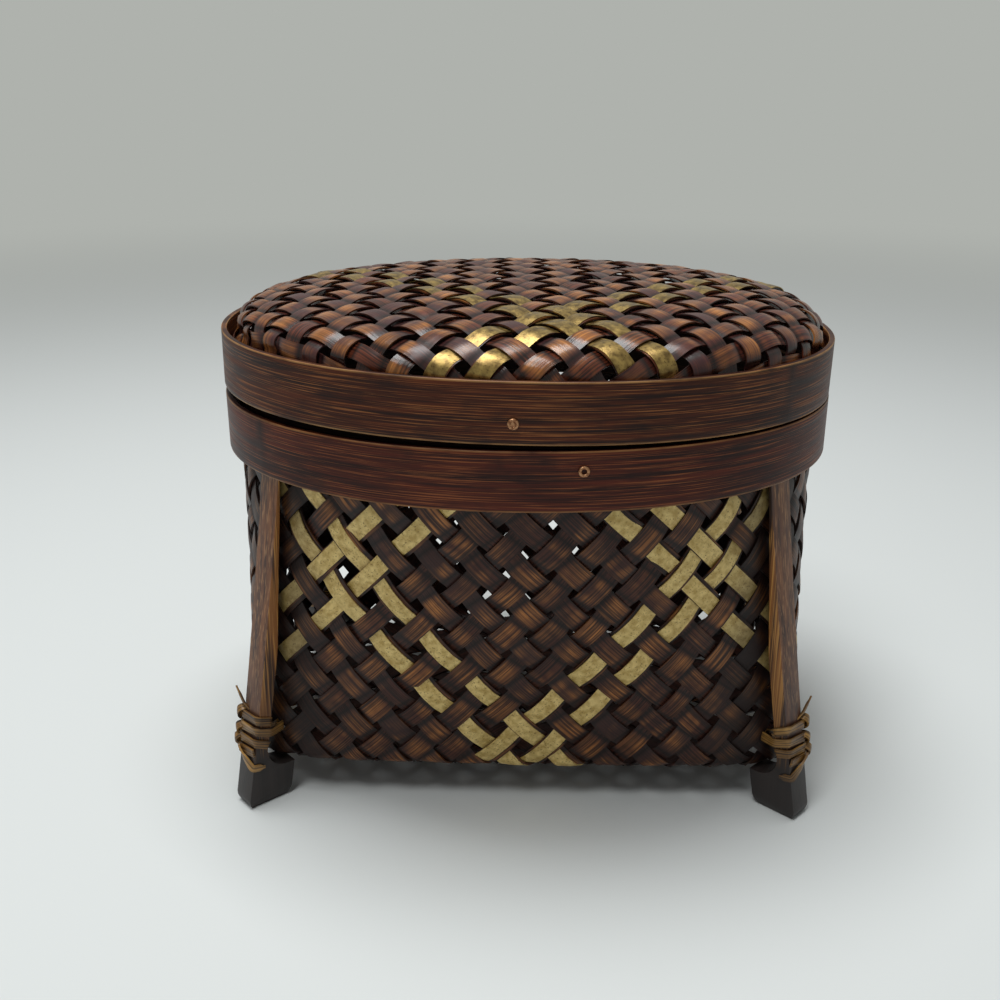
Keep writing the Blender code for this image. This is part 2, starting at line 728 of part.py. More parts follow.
def build_lid(parts, cutters, bamboo, woven, dark_bamboo, copper):
    seat = add_object("lid_seat", None, parts)
    seat.location = (0, 0, LID_MIDDLE)
    seat.rotation_euler = (0, LID_TILT, 0)
    weave = build_lid_weave(parts, woven, seat)
    hoop = build_hoop(
        "lid_hoop_outer", 0, HOOP_THICKNESS, -LID_EDGE, LID_EDGE, parts, bamboo, seat
    )
    ring = build_hoop(
        "lid_hoop_inner",
        LID_RING_INSET,
        LID_RING_THICKNESS,
        LID_RING_ABOVE_HOOP_BOTTOM - LID_EDGE,
        LID_EDGE - LID_RING_BELOW_HOOP_TOP,
        parts,
        dark_bamboo,
        seat,
    )
    add_openings(weave, "lid_openings", lid_opening_places(), cutters, seat)
    depth = LID_RING_INSET + LID_RING_THICKNESS
    for name, back in (("lid_rivet_front", False), ("lid_rivet_back", True)):
        place = rivet_place(LID_RIVET_OFFSET, LID_EDGE - LID_RIVET_DROP, back)
        add_rivet_hole((hoop, weave, ring), name, place, depth, cutters, seat)
        build_rivet(name, place, depth, 0, parts, copper, seat)


def main():
    clear_scene()
    parts = new_collection("bamboo_basket")
    cutters = new_collection("cutters")
    bamboo = new_material("stained_bamboo", (0.085, 0.030, 0.016), 0.45)
    dark_bamboo = new_material("dark_bamboo", (0.060, 0.026, 0.015), 0.55)
    woven_body = new_material("woven_body", (0.035, 0.016, 0.012), 0.5)
    woven_lid = new_material("woven_lid", (0.140, 0.045, 0.022), 0.4)
    cane = new_material("split_cane", (0.220, 0.105, 0.035), 0.6)
    copper = new_material("copper", (0.450, 0.230, 0.120), 0.35, 1.0)
    build_body(parts, cutters, bamboo, woven_body, dark_bamboo, cane, copper)
    build_lid(parts, cutters, bamboo, woven_lid, dark_bamboo, copper)
    print(f"least gap between turns of cane: {least_self_gap(binding_path()) * 1000:.2f} mm")


main()
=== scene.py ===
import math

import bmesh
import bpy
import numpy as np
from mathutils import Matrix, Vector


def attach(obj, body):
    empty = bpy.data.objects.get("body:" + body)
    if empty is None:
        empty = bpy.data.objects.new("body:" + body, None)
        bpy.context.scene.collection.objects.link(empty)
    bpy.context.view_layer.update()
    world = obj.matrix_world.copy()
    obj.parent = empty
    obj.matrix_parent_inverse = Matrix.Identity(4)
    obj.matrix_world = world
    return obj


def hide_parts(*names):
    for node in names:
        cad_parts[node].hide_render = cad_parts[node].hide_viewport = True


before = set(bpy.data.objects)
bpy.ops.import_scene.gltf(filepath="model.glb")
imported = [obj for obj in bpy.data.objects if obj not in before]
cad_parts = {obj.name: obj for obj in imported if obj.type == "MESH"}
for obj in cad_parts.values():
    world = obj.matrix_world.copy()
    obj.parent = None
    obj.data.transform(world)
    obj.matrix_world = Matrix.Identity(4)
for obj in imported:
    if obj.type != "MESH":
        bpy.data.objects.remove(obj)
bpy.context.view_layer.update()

# %% [markdown]
# # A lidded bamboo basket on four legs
#
# The real basket is woven from stained bamboo strips, about 6 mm wide and half a millimetre
# thick. Two bent hoops of split bamboo hold the rim of the body and the rim of the lid, four
# split legs are tucked up behind the body's hoop, and flat cane ties each leg to the weave.
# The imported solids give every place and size. Each one is replaced here by a finer piece that
# stays in the same space.
#
# Lengths are in metres, X to the right, Y to the back, Z up, with the table at zero.

MM = 0.001

# %% [markdown]
# ## The camera
#
# The camera stands where the photograph was taken, a third of a metre away and a little above
# the lid, and looks down by about 20 degrees. A real lens that near shows the front larger than
# the back, so the place has to be right before any shape can be judged.

# %% The camera
CAMERA_PLACE = Vector((0.00304, -0.34169, 0.20474))
CAMERA_YAW, CAMERA_PITCH, CAMERA_ROLL = -0.0318, 0.3566, 0.0011
LENS_MM, SENSOR_MM, NEAREST = 41.27, 36, 0.01

scene = bpy.context.scene
camera = bpy.data.objects.new("camera", bpy.data.cameras.new("camera"))
scene.collection.objects.link(camera)
camera.data.lens = LENS_MM
camera.data.sensor_width = SENSOR_MM
camera.data.clip_start = NEAREST
looking = Vector((
    math.sin(CAMERA_YAW) * math.cos(CAMERA_PITCH),
    math.cos(CAMERA_YAW) * math.cos(CAMERA_PITCH),
    -math.sin(CAMERA_PITCH),
))
right = looking.cross(Vector((0, 0, 1))).normalized()
turn = Matrix((right, right.cross(looking), -looking)).transposed().to_4x4()
camera.matrix_world = (
    Matrix.Translation(CAMERA_PLACE) @ turn @ Matrix.Rotation(CAMERA_ROLL, 4, "Z")
)
scene.camera = camera
scene.view_settings.view_transform = "Standard"
print("the camera looks along", [round(value, 3) for value in looking])

# %% [markdown]
# ## Colours and nodes
#
# Colours are written as the hex values that a picture shows, and one function turns them into
# the linear values that Blender's shaders work in. Two more set up and link a shader node and
# add a new one, so that a material reads as a short list of steps.

# %% A colour from its hex value, and a node with its links
def colour(code):
    values = [int(code[i:i + 2], 16) / 255 for i in (1, 3, 5)]
    linear = [v / 12.92 if v <= 0.04045 else ((v + 0.055) / 1.055) ** 2.4 for v in values]
    return (*linear, 1.0)


def set_inputs(tree, node, inputs):
    """Gives each input of a node its value, or links it to another node or socket."""
    for name, value in inputs.items():
        if isinstance(value, bpy.types.Node):
            value = value.outputs[2 if value.bl_idname == "ShaderNodeMix" else 0]
        if isinstance(value, bpy.types.NodeSocket):
            tree.links.new(value, node.inputs[name])
        else:
            node.inputs[name].default_value = value


def add_node(tree, kind, inputs=None, **settings):
    node = tree.nodes.new("ShaderNode" + kind)
    for name, value in settings.items():
        setattr(node, name, value)
    set_inputs(tree, node, inputs or {})
    return node


def new_finish(name):
    material = bpy.data.materials.new(name)
    material.use_nodes = True
    tree = material.node_tree
    return material, tree, tree.nodes["Principled BSDF"]


# %% [markdown]
# ## The floor, the backdrop and the light
#
# The floor is one pale sheet. Far from the basket it fades into the plain colour of the
# backdrop, so that no horizon shows. That colour is light of its own, given to camera, mirror
# and glass rays only, and near the basket the sheet is plain paper that takes the shadow. A
# broad lamp overhead gives the dark shadow under the basket and the gloss on the lid's
# shoulders, and a weaker one stands in for a window at the front.

# %% The pale sheet and the backdrop
FLOOR_COLOUR, BACKDROP_COLOUR = "#d8dddc", "#afb2ad"
SHEET_SIZE, FADE_FROM, FADE_TO = 30, 0.30, 1.50
PAPER_ROUGHNESS, ROOM_LIGHT = 0.9, 0.18


def seen_directly(tree):
    """One for rays of the camera, of mirrors and of glass, and zero for light that bounces."""
    rays = add_node(tree, "LightPath")
    seen = add_node(tree, "Math", {0: rays.outputs["Is Camera Ray"],
                                   1: rays.outputs["Is Glossy Ray"]}, operation="MAXIMUM")
    return add_node(tree, "Math", {0: seen, 1: rays.outputs["Is Transmission Ray"]},
                    operation="MAXIMUM")


bpy.ops.object.select_all(action="DESELECT")
bpy.ops.mesh.primitive_plane_add(size=SHEET_SIZE)
sheet = bpy.context.object
sheet.name = "studio_floor"
material, tree, shader = new_finish("pale_paper")
set_inputs(tree, shader, {"Base Color": colour(FLOOR_COLOUR), "Roughness": PAPER_ROUGHNESS})
place = add_node(tree, "TexCoord").outputs["Object"]
far = add_node(tree, "VectorMath", {0: place}, operation="LENGTH").outputs["Value"]
far = add_node(tree, "MapRange", {"Value": far, "From Min": FADE_FROM, "From Max": FADE_TO},
               interpolation_type="SMOOTHSTEP")
far = add_node(tree, "Math", {0: far, 1: seen_directly(tree)}, operation="MULTIPLY")
glow = add_node(tree, "Emission", {"Color": colour(BACKDROP_COLOUR), "Strength": 1.0})
both = add_node(tree, "MixShader", {0: far, 1: shader.outputs[0], 2: glow})
set_inputs(tree, tree.nodes["Material Output"], {0: both})
sheet.data.materials.append(material)

world = bpy.data.worlds.new("studio")
world.use_nodes = True
scene.world = world
tree = world.node_tree
room_light = add_node(tree, "Background", {"Color": colour("#ffffff"), "Strength": ROOM_LIGHT})
backdrop = add_node(tree, "Background", {"Color": colour(BACKDROP_COLOUR), "Strength": 1.0})
both = add_node(tree, "MixShader", {0: seen_directly(tree), 1: room_light, 2: backdrop})
set_inputs(tree, tree.nodes["World Output"], {0: both})


# %% Two soft lamps
def soft_lamp(name, place, aim, size, watts):
    lamp = bpy.data.objects.new(name, bpy.data.lights.new(name, "AREA"))
    scene.collection.objects.link(lamp)
    lamp.data.size = size
    lamp.data.energy = watts
    lamp.location = place
    lamp.rotation_euler = (Vector(aim) - Vector(place)).to_track_quat("-Z", "Y").to_euler()
    return lamp


soft_lamp("overhead", (-0.10, 0.05, 1.05), (0, -0.03, 0.05), 0.5, 8.5)
soft_lamp("window", (-0.25, -0.46, 1.08), (0, 0, 0.06), 0.35, 3.2)
print("floor, world and two lamps")

# %% [markdown]
# ## The shape that everything follows
#
# Both hoops are bent round one oval, a little squarer than an ellipse. The body leans in from
# that oval to a base with much squarer corners, because the weaver started with a flat
# rectangular mat. A woven strip lies on such a surface, so the surface is written as a function
# from two numbers, how far round and how far down, to a point in space.

# %% The hoop's oval and the base's outline
HOOP_WIDTH, HOOP_DEPTH, HOOP_HEIGHT = 180.0 * MM, 147.0 * MM, 16.2 * MM
HOOP_THICKNESS, HOOP_ROUNDNESS = 1.6 * MM, 2.1
BASE_WIDTH, BASE_DEPTH, BASE_ROUNDNESS = 170.0 * MM, 99.5 * MM, 7.0
BASE_EDGE_RADIUS = 3.0 * MM
WALL_BOTTOM, BODY_HOOP_BOTTOM, BODY_HOOP_TOP = 11.3 * MM, 101.3 * MM, 117.5 * MM
WALL_INSET = 3.4 * MM
FINE = 2048


def normalised(vectors):
    return vectors / np.linalg.norm(vectors, axis=-1, keepdims=True)


def length_along(points):
    """How far each point of a line lies from the first, along the line."""
    steps = np.linalg.norm(np.diff(points, axis=0), axis=1)
    return np.concatenate([[0], np.cumsum(steps)])


def between(wanted, places, points):
    """The points of a line at wanted places, from the places of the points that it has."""
    return np.stack([np.interp(wanted, places, column) for column in points.T], axis=-1)


def oval(half_width, half_depth, roundness, count=FINE):
    """Points at equal steps round an oval, from +X towards +Y, and its length."""
    angle = np.linspace(0, 2 * math.pi, 8 * count + 1)
    across = np.sign(np.cos(angle)) * np.abs(np.cos(angle)) ** (2 / roundness)
    along = np.sign(np.sin(angle)) * np.abs(np.sin(angle)) ** (2 / roundness)
    fine = np.stack([half_width * across, half_depth * along], axis=1)
    length = length_along(fine)
    return between(np.arange(count + 1) * length[-1] / count, length, fine), length[-1]


def hoop_oval(inset, count=FINE):
    return oval(HOOP_WIDTH / 2 - inset, HOOP_DEPTH / 2 - inset, HOOP_ROUNDNESS, count)


rim_line, rim_length = hoop_oval(WALL_INSET)
base_line, base_length = oval(BASE_WIDTH / 2, BASE_DEPTH / 2, BASE_ROUNDNESS)
print(f"round the rim {rim_length / MM:.0f} mm, round the base {base_length / MM:.0f} mm")

# %% The body's surface
def round_points(line, share):
    """Points of a closed outline at shares of its length."""
    return between((np.asarray(share) % 1) * FINE, np.arange(FINE + 1), line)


def body_outline(share, rise):
    return round_points(base_line, share) * (1 - rise) + round_points(rim_line, share) * rise


def body_surface(share, down):
    """A point of the body's outer face. Down is measured from the hoop's lower edge."""
    tiny = 0.0005
    straight = BODY_HOOP_BOTTOM - WALL_BOTTOM - BASE_EDGE_RADIUS
    height = BODY_HOOP_BOTTOM - np.minimum(down, straight)
    rise = np.clip((height - WALL_BOTTOM) / (BODY_HOOP_BOTTOM - WALL_BOTTOM), 0, 1)[..., None]
    ahead = normalised(body_outline(share + tiny, rise) - body_outline(share - tiny, rise))
    inwards = np.stack([-ahead[..., 1], ahead[..., 0]], axis=-1)
    past = np.maximum(down - straight, 0)
    bend = np.minimum(past / BASE_EDGE_RADIUS, math.pi / 2)
    inset = BASE_EDGE_RADIUS * (1 - np.cos(bend))
    inset += np.maximum(past - BASE_EDGE_RADIUS * math.pi / 2, 0)
    height = height - BASE_EDGE_RADIUS * np.sin(bend)
    flat = body_outline(share, rise) + inwards * inset[..., None]
    return np.concatenate([flat, height[..., None]], axis=-1)


# %% [markdown]
# ## How a woven strip is laid
#
# Every strip is the same flat strip of bamboo: one grid, added once and copied. A copy is laid
# along a path on the surface. It rises over each strip that it crosses and dips under the next
# one, which is a wave along its length. It is a little crowned across, it wanders, and its tilt
# changes, because no two strips were split alike. The grid's UV map becomes the place along and
# across the strip, so that the fibres follow it. Three attributes tell the finish which strip
# it is, where it lies over another and where shade is painted on it beside a leg.

# %% Blank strips and the wave of a weave
STRIP_COLUMNS = 4
random = np.random.default_rng(7)


def blank_strip(steps):
    bpy.ops.object.select_all(action="DESELECT")
    bpy.ops.mesh.primitive_grid_add(x_subdivisions=steps, y_subdivisions=STRIP_COLUMNS, size=1)
    blank = bpy.context.object
    blank.name = f"blank_strip_{steps}"
    return blank


def wave(phase, flatness):
    """How far over or under a strip lies, from 1 to -1. A stiff strip has flatter floats."""
    over = np.cos(math.pi * phase)
    return over * (1 + flatness - flatness * over**2)


# %% Bending a blank along a line in space
# How far a strip strays aside, twice, how much it tilts, twice, and by what share its width
# changes, each with the length that sets how often.
STRIP_WAVES = ((0.22 * MM, 21 * MM), (0.12 * MM, 8 * MM), (0.06, 13 * MM), (0.04, 6 * MM),
               (0.05, 17 * MM))
STRIP_CROWN, THINNEST_SHARE = 0.10 * MM, 0.35


def bend_strip(name, blank, middle, normal, lift, over, width, shift=0.0, thin_ends=0.0,
               sides=None, wear_and_light=None):
    """Copies the blank onto a line of points, with its flat side along the normals. The sides
    are the points of a surface half a strip to the left and right, which the strip follows."""
    mesh = blank.data.copy()
    strip = bpy.data.objects.new(name, mesh)
    scene.collection.objects.link(strip)
    flat = np.empty(len(mesh.vertices) * 3)
    mesh.vertices.foreach_get("co", flat)
    along, across = flat[0::3] + 0.5, flat[1::3] * 2
    aside = normalised(np.cross(normal, normalised(np.gradient(middle, axis=0))))
    length = length_along(middle)
    shares = np.linspace(0, 1, len(middle))
    starts = random.uniform(0, 2 * math.pi, len(STRIP_WAVES))
    waves = [size * np.sin(length / reach + start)
             for (size, reach), start in zip(STRIP_WAVES, starts)]
    wander, tilt, half = waves[0] + waves[1], waves[2] + waves[3], width / 2 * (1 + waves[4])
    if thin_ends:
        from_end = np.minimum(length, length[-1] - length)
        half *= np.clip(from_end / thin_ends, THINNEST_SHARE, 1)

    def at(values):
        return (np.interp if values.ndim == 1 else between)(along, shares, values)

    bow = np.zeros_like(middle)
    if sides is not None:
        aside = (sides[1] - sides[0]) / width
        bow = (sides[0] + sides[1]) / 2 - middle
    reach = across * at(half)
    height = at(lift) + STRIP_CROWN * (1 - across**2) + reach * at(tilt)
    points = at(middle) + at(aside) * (reach + at(wander) + shift)[:, None]
    points += at(bow) * (across**2)[:, None] + at(normal) * height[:, None]
    mesh.vertices.foreach_set("co", points.ravel())
    loops = np.empty(len(mesh.loops), dtype=np.int32)
    mesh.loops.foreach_get("vertex_index", loops)
    place = np.stack([at(length), reach], axis=1)[loops].astype(np.float32)
    mesh.uv_layers[0].name = "strip"
    mesh.uv_layers[0].uv.foreach_set("vector", place.ravel())
    # The third attribute is shade painted beside a leg. The lid's strips and the cane get none.
    labels = {"tone": np.full(len(along), random.uniform(0, 1)), "over": at(over),
              "painted_leg_shade": np.zeros(len(along)) if wear_and_light is None else at(1 - wear_and_light)}
    for label, values in labels.items():
        layer = mesh.attributes.new(label, "FLOAT", "POINT")
        layer.data.foreach_set("value", values.astype(np.float32))
    mesh.update()
    return strip


NEARBY, BASKET_MIDDLE = 0.1 * MM, (0, 0, 60 * MM)


def lay_strip(name, blank, surface, path, unit, over, swing, seat, width, shift=0.0,
              unshaded_share=None):
    """Bends a blank along a path on a surface. The unit is what one metre is on the path."""
    def spot(along, aside):
        step = normalised(np.gradient(path / unit, axis=0))
        moved = path + (step * along + step[:, ::-1] * (-1, 1) * aside) * unit
        return surface(moved[:, 0], moved[:, 1])

    middle = surface(path[:, 0], path[:, 1])
    normal = normalised(np.cross(spot(NEARBY, 0) - middle, spot(0, NEARBY) - middle))
    outwards = np.sign((normal * (middle - BASKET_MIDDLE)).sum(axis=1, keepdims=True))
    sides = [spot(0, side * width / 2) for side in (-1, 1)]
    return bend_strip(name, blank, middle, normal * outwards, over * swing + seat, over, width,
                      shift, sides=sides, wear_and_light=unshaded_share(middle) if unshaded_share else None)


# %% Several pieces become one, and a piece is finished
def join(name, pieces):
    bpy.ops.object.select_all(action="DESELECT")
    for piece in pieces:
        piece.select_set(True)
    bpy.context.view_layer.objects.active = pieces[0]
    bpy.ops.object.join()
    pieces[0].name = name
    return pieces[0]


def pick(piece):
    bpy.ops.object.select_all(action="DESELECT")
    piece.select_set(True)
    bpy.context.view_layer.objects.active = piece


def apply_modifier(piece, kind, **settings):
    pick(piece)
    modifier = piece.modifiers.new(kind.lower(), kind)
    for name, value in settings.items():
        setattr(modifier, name, value)
    bpy.ops.object.modifier_apply(modifier=modifier.name)


def smooth_faces(piece, degrees=40):
    pick(piece)
    bpy.ops.object.shade_smooth_by_angle(angle=math.radians(degrees))


def finish_piece(piece, material, body, slot, *nodes):
    piece.data.materials.clear()
    piece.data.materials.append(material)
    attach(piece, body)
    if nodes:
        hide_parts(*nodes)
    low, high = np.array(piece.bound_box)[0], np.array(piece.bound_box)[6]
    print(piece.name, len(piece.data.polygons), "faces,", np.round((high - low) / MM, 1), "mm")


def thick_weave(name, strips, thickness, material, body, slot, *nodes):
    """Joins flat strips, gives them their thickness and finishes them as one piece."""
    weave = join(name, strips)
    apply_modifier(weave, "SOLIDIFY", thickness=thickness, offset=0)
    smooth_faces(weave)
    finish_piece(weave, material, body, slot, *nodes)


# %% [markdown]
# ## Grain and stain
#
# Bamboo has straight fibre bundles a few tenths of a millimetre apart, so its grain is noise
# that is drawn out along the strip. Three helpers serve every finish. One draws grain of a
# given size, one turns values into a factor between zero and one, and one lays colour over
# colour by such factors, as stain, wear and dirt lie on the real strip.

# %% Grain, factors and layers of stain
def grain(tree, place, roughness=0.5, **patterns):
    """Noise for each named pattern, from the size of its grain along each axis."""
    noises = {}
    for label, (sizes, detail) in patterns.items():
        where = add_node(tree, "VectorMath", {0: place, 1: [1 / size for size in sizes]},
                         operation="MULTIPLY")
        noises[label] = add_node(tree, "TexNoise", {
            "Vector": where, "Scale": 1.0, "Detail": detail, "Roughness": roughness})
    return noises


def factor(tree, *ranges, operation="MULTIPLY"):
    """One factor from several values. Each has the range over which it sets in, and may have
    how strong it starts and ends."""
    whole = None
    for values in ranges:
        names = ("Value", "From Min", "From Max", "To Min", "To Max")
        part = add_node(tree, "MapRange", dict(zip(names, values)))
        whole = part if whole is None else add_node(
            tree, "Math", {0: whole, 1: part}, operation=operation)
    return whole


def stain(tree, base, *layers):
    """Lays colours over a base, each a hex value or a finished colour with its range."""
    for over, *values in layers:
        over = colour(over) if isinstance(over, str) else over
        base = add_node(tree, "Mix", {0: factor(tree, values), 6: base, 7: over},
                        data_type="RGBA")
    return base


# %% [markdown]
# ## The finish of the strips
#
# The strips are split bamboo, stained dark and rubbed with a satin lacquer. Where a strip dives
# under another it is painted near black, as dirt in the crossing and as painted shade, and the
# same painted shade darkens the wall beside each leg. On top of a float it is orange brown,
# partly rubbed wear and partly a painted highlight. Its edges are painted darker as shade, and
# each strip took the stain a little differently. The lid was handled more, so its lacquer is
# glossier and its brown is warmer.

# %% Stained bamboo strips
# Each grain's length, width and step from strip to strip, and its detail.
FIBRES = ((25 * MM, 0.43478 * MM, 1 / 371), 3.0)
BUNDLES = ((33.333 * MM, 1 * MM, 1 / 613), 1.0)
PATCHES = ((8.3333 * MM, 16.667 * MM, 1 / 917), 2.0)
# SHADED is the near black of painted shade.
SHADED = "#0e0807"
# A strip's edges are painted darker, as shade, from the first distance aside to the second.
EDGE_SHADE_FROM, EDGE_SHADE_TO = 2.0 * MM, 2.9 * MM


def strip_place(tree):
    """The place along and across a strip in metres, with its own tone as the third axis."""
    tone = add_node(tree, "Attribute", attribute_name="tone").outputs["Fac"]
    return add_node(tree, "VectorMath", {0: add_node(tree, "UVMap", uv_map="strip"),
                                         1: add_node(tree, "CombineXYZ", {"Z": tone})})


def strip_finish(name, wear_and_highlight_range, dark, brown, wear_and_highlight, other, streaky, roughness, specular):
    material, tree, shader = new_finish(name)
    place = strip_place(tree)
    spot = add_node(tree, "SeparateXYZ", {0: place}).outputs
    fibres, bundles, patches = grain(
        tree, place, fibres=FIBRES, bundles=BUNDLES, patches=PATCHES).values()
    over, painted_leg_shade = (add_node(tree, "Attribute", attribute_name=label).outputs["Fac"]
                       for label in ("over", "painted_leg_shade"))
    # Seventeen times the tone, less its whole part, is a second number for each strip.
    which = add_node(tree, "Math", {0: spot["Z"], 1: 17.0}, operation="MULTIPLY")
    which = add_node(tree, "Math", {0: which}, operation="FRACT")
    aside = add_node(tree, "Math", {0: spot["Y"]}, operation="ABSOLUTE")
    depth = add_node(tree, "Math", {0: over}, operation="ABSOLUTE")
    # Orange brown on top of each float: partly rubbed wear, partly a painted highlight.
    wear_and_light = factor(tree, (over, 0.1, 0.9), (patches, *wear_and_highlight_range),
                    (bundles, 0.40, 0.60, 1 - 0.75 * streaky),
                    (fibres, 0.44, 0.58, 1 - 0.8 * streaky))
    # Painted shade, near black: where a strip dives under another, with dirt in the crossing, and
    # on the wall beside each leg.
    painted_shade = factor(tree, (depth, 0.55, 0.0, 0.0, 0.85), (painted_leg_shade, 0.0, 1.0, 0.0, 0.75),
                    operation="MAXIMUM")
    # The layer on the strip's edges is painted shade.
    base = stain(tree, colour(dark), (brown, fibres, 0.42, 0.58),
                 (other, which, 0.50, 1.0, 0.0, 0.8), (wear_and_highlight, wear_and_light),
                 (dark, aside, EDGE_SHADE_FROM, EDGE_SHADE_TO, 0.0, 0.45), (SHADED, painted_shade))
    relief = add_node(tree, "Math", {0: fibres, 1: bundles}, operation="ADD")
    set_inputs(tree, shader, {
        "Base Color": base, "Specular IOR Level": specular,
        "Roughness": factor(tree, (patches, 0.3, 0.7, roughness + 0.12, roughness - 0.06)),
        "Normal": add_node(tree, "Bump", {
            "Height": relief, "Strength": 0.5, "Distance": 0.12 * MM})})
    return material


stained_strips = strip_finish(
    "stained_bamboo_strip", (0.40, 0.62), "#1e100d", "#4b281d", "#ac6f39", "#33211f",
    streaky=1.0, roughness=0.42, specular=0.26)
lid_strips = strip_finish(
    "polished_bamboo_strip", (0.43, 0.68), "#2a110b", "#66321f", "#bb7b3d", "#3d2224",
    streaky=0.6, roughness=0.26, specular=0.4)
print("strip finishes:", stained_strips.name, lid_strips.name)

# %% [markdown]
# A few strips carry a second, thinner strip on top that was brushed with gold lacquer. The
# lacquer is thin and has cracked into fine dark specks, and it is mottled where it thinned. On
# the lid it is browner and shines more like metal.

# %% Gold lacquer on bamboo
MOTTLE_SIZE, SPECK_SIZE = 1.92308 * MM, 0.52632 * MM


def gold_finish(name, dark, pale, speck, metallic, roughness):
    material, tree, shader = new_finish(name)
    mottling, specks = grain(
        tree, strip_place(tree), mottling=([MOTTLE_SIZE] * 3, 4.0),
        specks=([SPECK_SIZE] * 3, 2.0)).values()
    painted_leg_shade = add_node(tree, "Attribute", attribute_name="painted_leg_shade").outputs["Fac"]
    # The last dark layer is painted shade on the gold beside the legs.
    base = stain(tree, colour(dark), (pale, mottling, 0.35, 0.65),
                 (speck, specks, 0.60, 0.68, 0.0, 0.75),
                 ("#2a2010", painted_leg_shade, 0.0, 1.0, 0.0, 0.6))
    set_inputs(tree, shader, {
        "Base Color": base, "Metallic": metallic,
        "Roughness": factor(tree, (mottling, 0.3, 0.7, roughness, roughness + 0.15)),
        "Normal": add_node(tree, "Bump", {
            "Height": specks, "Strength": 0.3, "Distance": 0.1 * MM})})
    return material


gold_strips = gold_finish(
    "gold_lacquered_strip", "#b0924c", "#dcc27e", "#745a26", metallic=0.15, roughness=0.40)
lid_gold_strips = gold_finish(
    "brass_lacquered_strip", "#705a33", "#a98e52", "#4c3a20", metallic=0.75, roughness=0.27)
print("gold finishes:", gold_strips.name, lid_gold_strips.name)

# %% [markdown]
# ## The woven body
#
# Forty strips lean one way round the body and forty the other way, 12.5 mm apart round the
# rim and 14 mm apart down the wall. Some crossings were measured on the front, and the rest
# are spaced evenly. The weave is plain: each strip goes over one and under one.

# %% Where the strips of the body run
STRIPS_ROUND, FRONT_SHARE = 40, 0.75
STRIP_DROP, SIDE_RISE = 14.13 * MM, 8.7 * MM
STRIP_TOP, GOLD_TOP, STRIP_END = -12.5 * MM, -2.5 * MM, 95 * MM
STRIP_WIDTH, STRIP_THICKNESS = 6.25 * MM, 0.5 * MM
WEAVE_SWING, WALL_MIDDLE = 0.48 * MM, 0.8 * MM
BODY_FLATNESS = 0.5
GOLD_THICKNESS, GOLD_LIFT, GOLD_SHIFT, GOLD_SHARE = 0.3 * MM, 0.42 * MM, 0.35 * MM, 0.8
front_falling = [-6.51, -5.18, -4.20, -3.22, -2.22, -1.38, -0.37, 0.66, 1.69, 2.74]
front_rising = [-2.62, -1.47, -0.42, 0.60, 1.67, 2.61, 3.51, 4.35, 5.31, 6.42]


def all_round(measured):
    """Ten measured strips on the front, the same ten on the back, and the rest between them."""
    gap = np.linspace(measured[-1], measured[0] + STRIPS_ROUND / 2, 12)[1:-1]
    half = np.concatenate([measured, gap])
    return np.concatenate([half, half + STRIPS_ROUND / 2])


falling, rising = all_round(front_falling), all_round(front_rising)
FIRST_FALLING, FIRST_RISING = -6, -3
gold_falling, gold_rising = (-6, -5, 2, 3), (-3, -2, 5, 6)
print(len(falling), "falling and", len(rising), "rising strips")

# %% Where shade is painted beside a leg
LEG_BEARING = math.radians(43)
LEG_POINT = np.array([70.69, 44.61]) * MM
OUT = np.array([math.cos(LEG_BEARING), math.sin(LEG_BEARING)])
ALONG = np.array([-math.sin(LEG_BEARING), math.cos(LEG_BEARING)])
# The painted shade beside a leg fades out between these distances aside of it.
LEG_SHADE_FROM, LEG_SHADE_TO = 18 * MM, 9 * MM


def away_from_leg_shade(points):
    """One on the open wall and zero beside a leg, where shade is painted into the colour."""
    aside = np.abs((np.abs(points[:, :2]) - LEG_POINT) @ ALONG)
    return np.clip((aside - LEG_SHADE_TO) / (LEG_SHADE_FROM - LEG_SHADE_TO), 0, 1)


# %% One strip of the body
def strip_number(places, first, value):
    """Which strip of the other family lies at this place, as a number with a fraction."""
    many = np.concatenate([places + STRIPS_ROUND * turn for turn in (-1, 0, 1)])
    return np.interp(value, many, first - STRIPS_ROUND + np.arange(len(many)))


def side_rise(round_it):
    return SIDE_RISE * (1 - np.cos(4 * math.pi * round_it / STRIPS_ROUND)) / 2


ROWS_REACHED, PLACES, PATH_POINTS = 14, 4000, 400


def body_path(kind, place, top):
    """Where one strip runs, from its top down and round the bottom edge."""
    down = np.linspace(top, STRIP_END, PATH_POINTS)
    fine = np.linspace(place - ROWS_REACHED, place + ROWS_REACHED, PLACES)
    rows = (fine - place) if kind == "falling" else (place - fine)
    fine_down = rows * STRIP_DROP - side_rise(fine)
    order = np.argsort(fine_down)
    return np.interp(down, fine_down[order], fine[order]), down


def lay_body_strip(kind, index, place, gold=False):
    round_it, down = body_path(kind, place, GOLD_TOP if gold else STRIP_TOP)
    rows = (down + side_rise(round_it)) / STRIP_DROP
    if kind == "falling":
        over = wave(index + strip_number(rising, FIRST_RISING, round_it + rows), BODY_FLATNESS)
    else:
        over = -wave(index + strip_number(falling, FIRST_FALLING, round_it - rows), BODY_FLATNESS)
    path = np.stack([FRONT_SHARE + round_it / STRIPS_ROUND, down], axis=1)
    width = STRIP_WIDTH * random.uniform(0.93, 1.07)
    return lay_strip(
        f"{kind}_{index}", body_blank, body_surface, path, (1 / rim_length, 1), over, WEAVE_SWING,
        -WALL_MIDDLE + (GOLD_LIFT if gold else 0), width * (GOLD_SHARE if gold else 1),
        GOLD_SHIFT if gold else 0, unshaded_share=away_from_leg_shade)


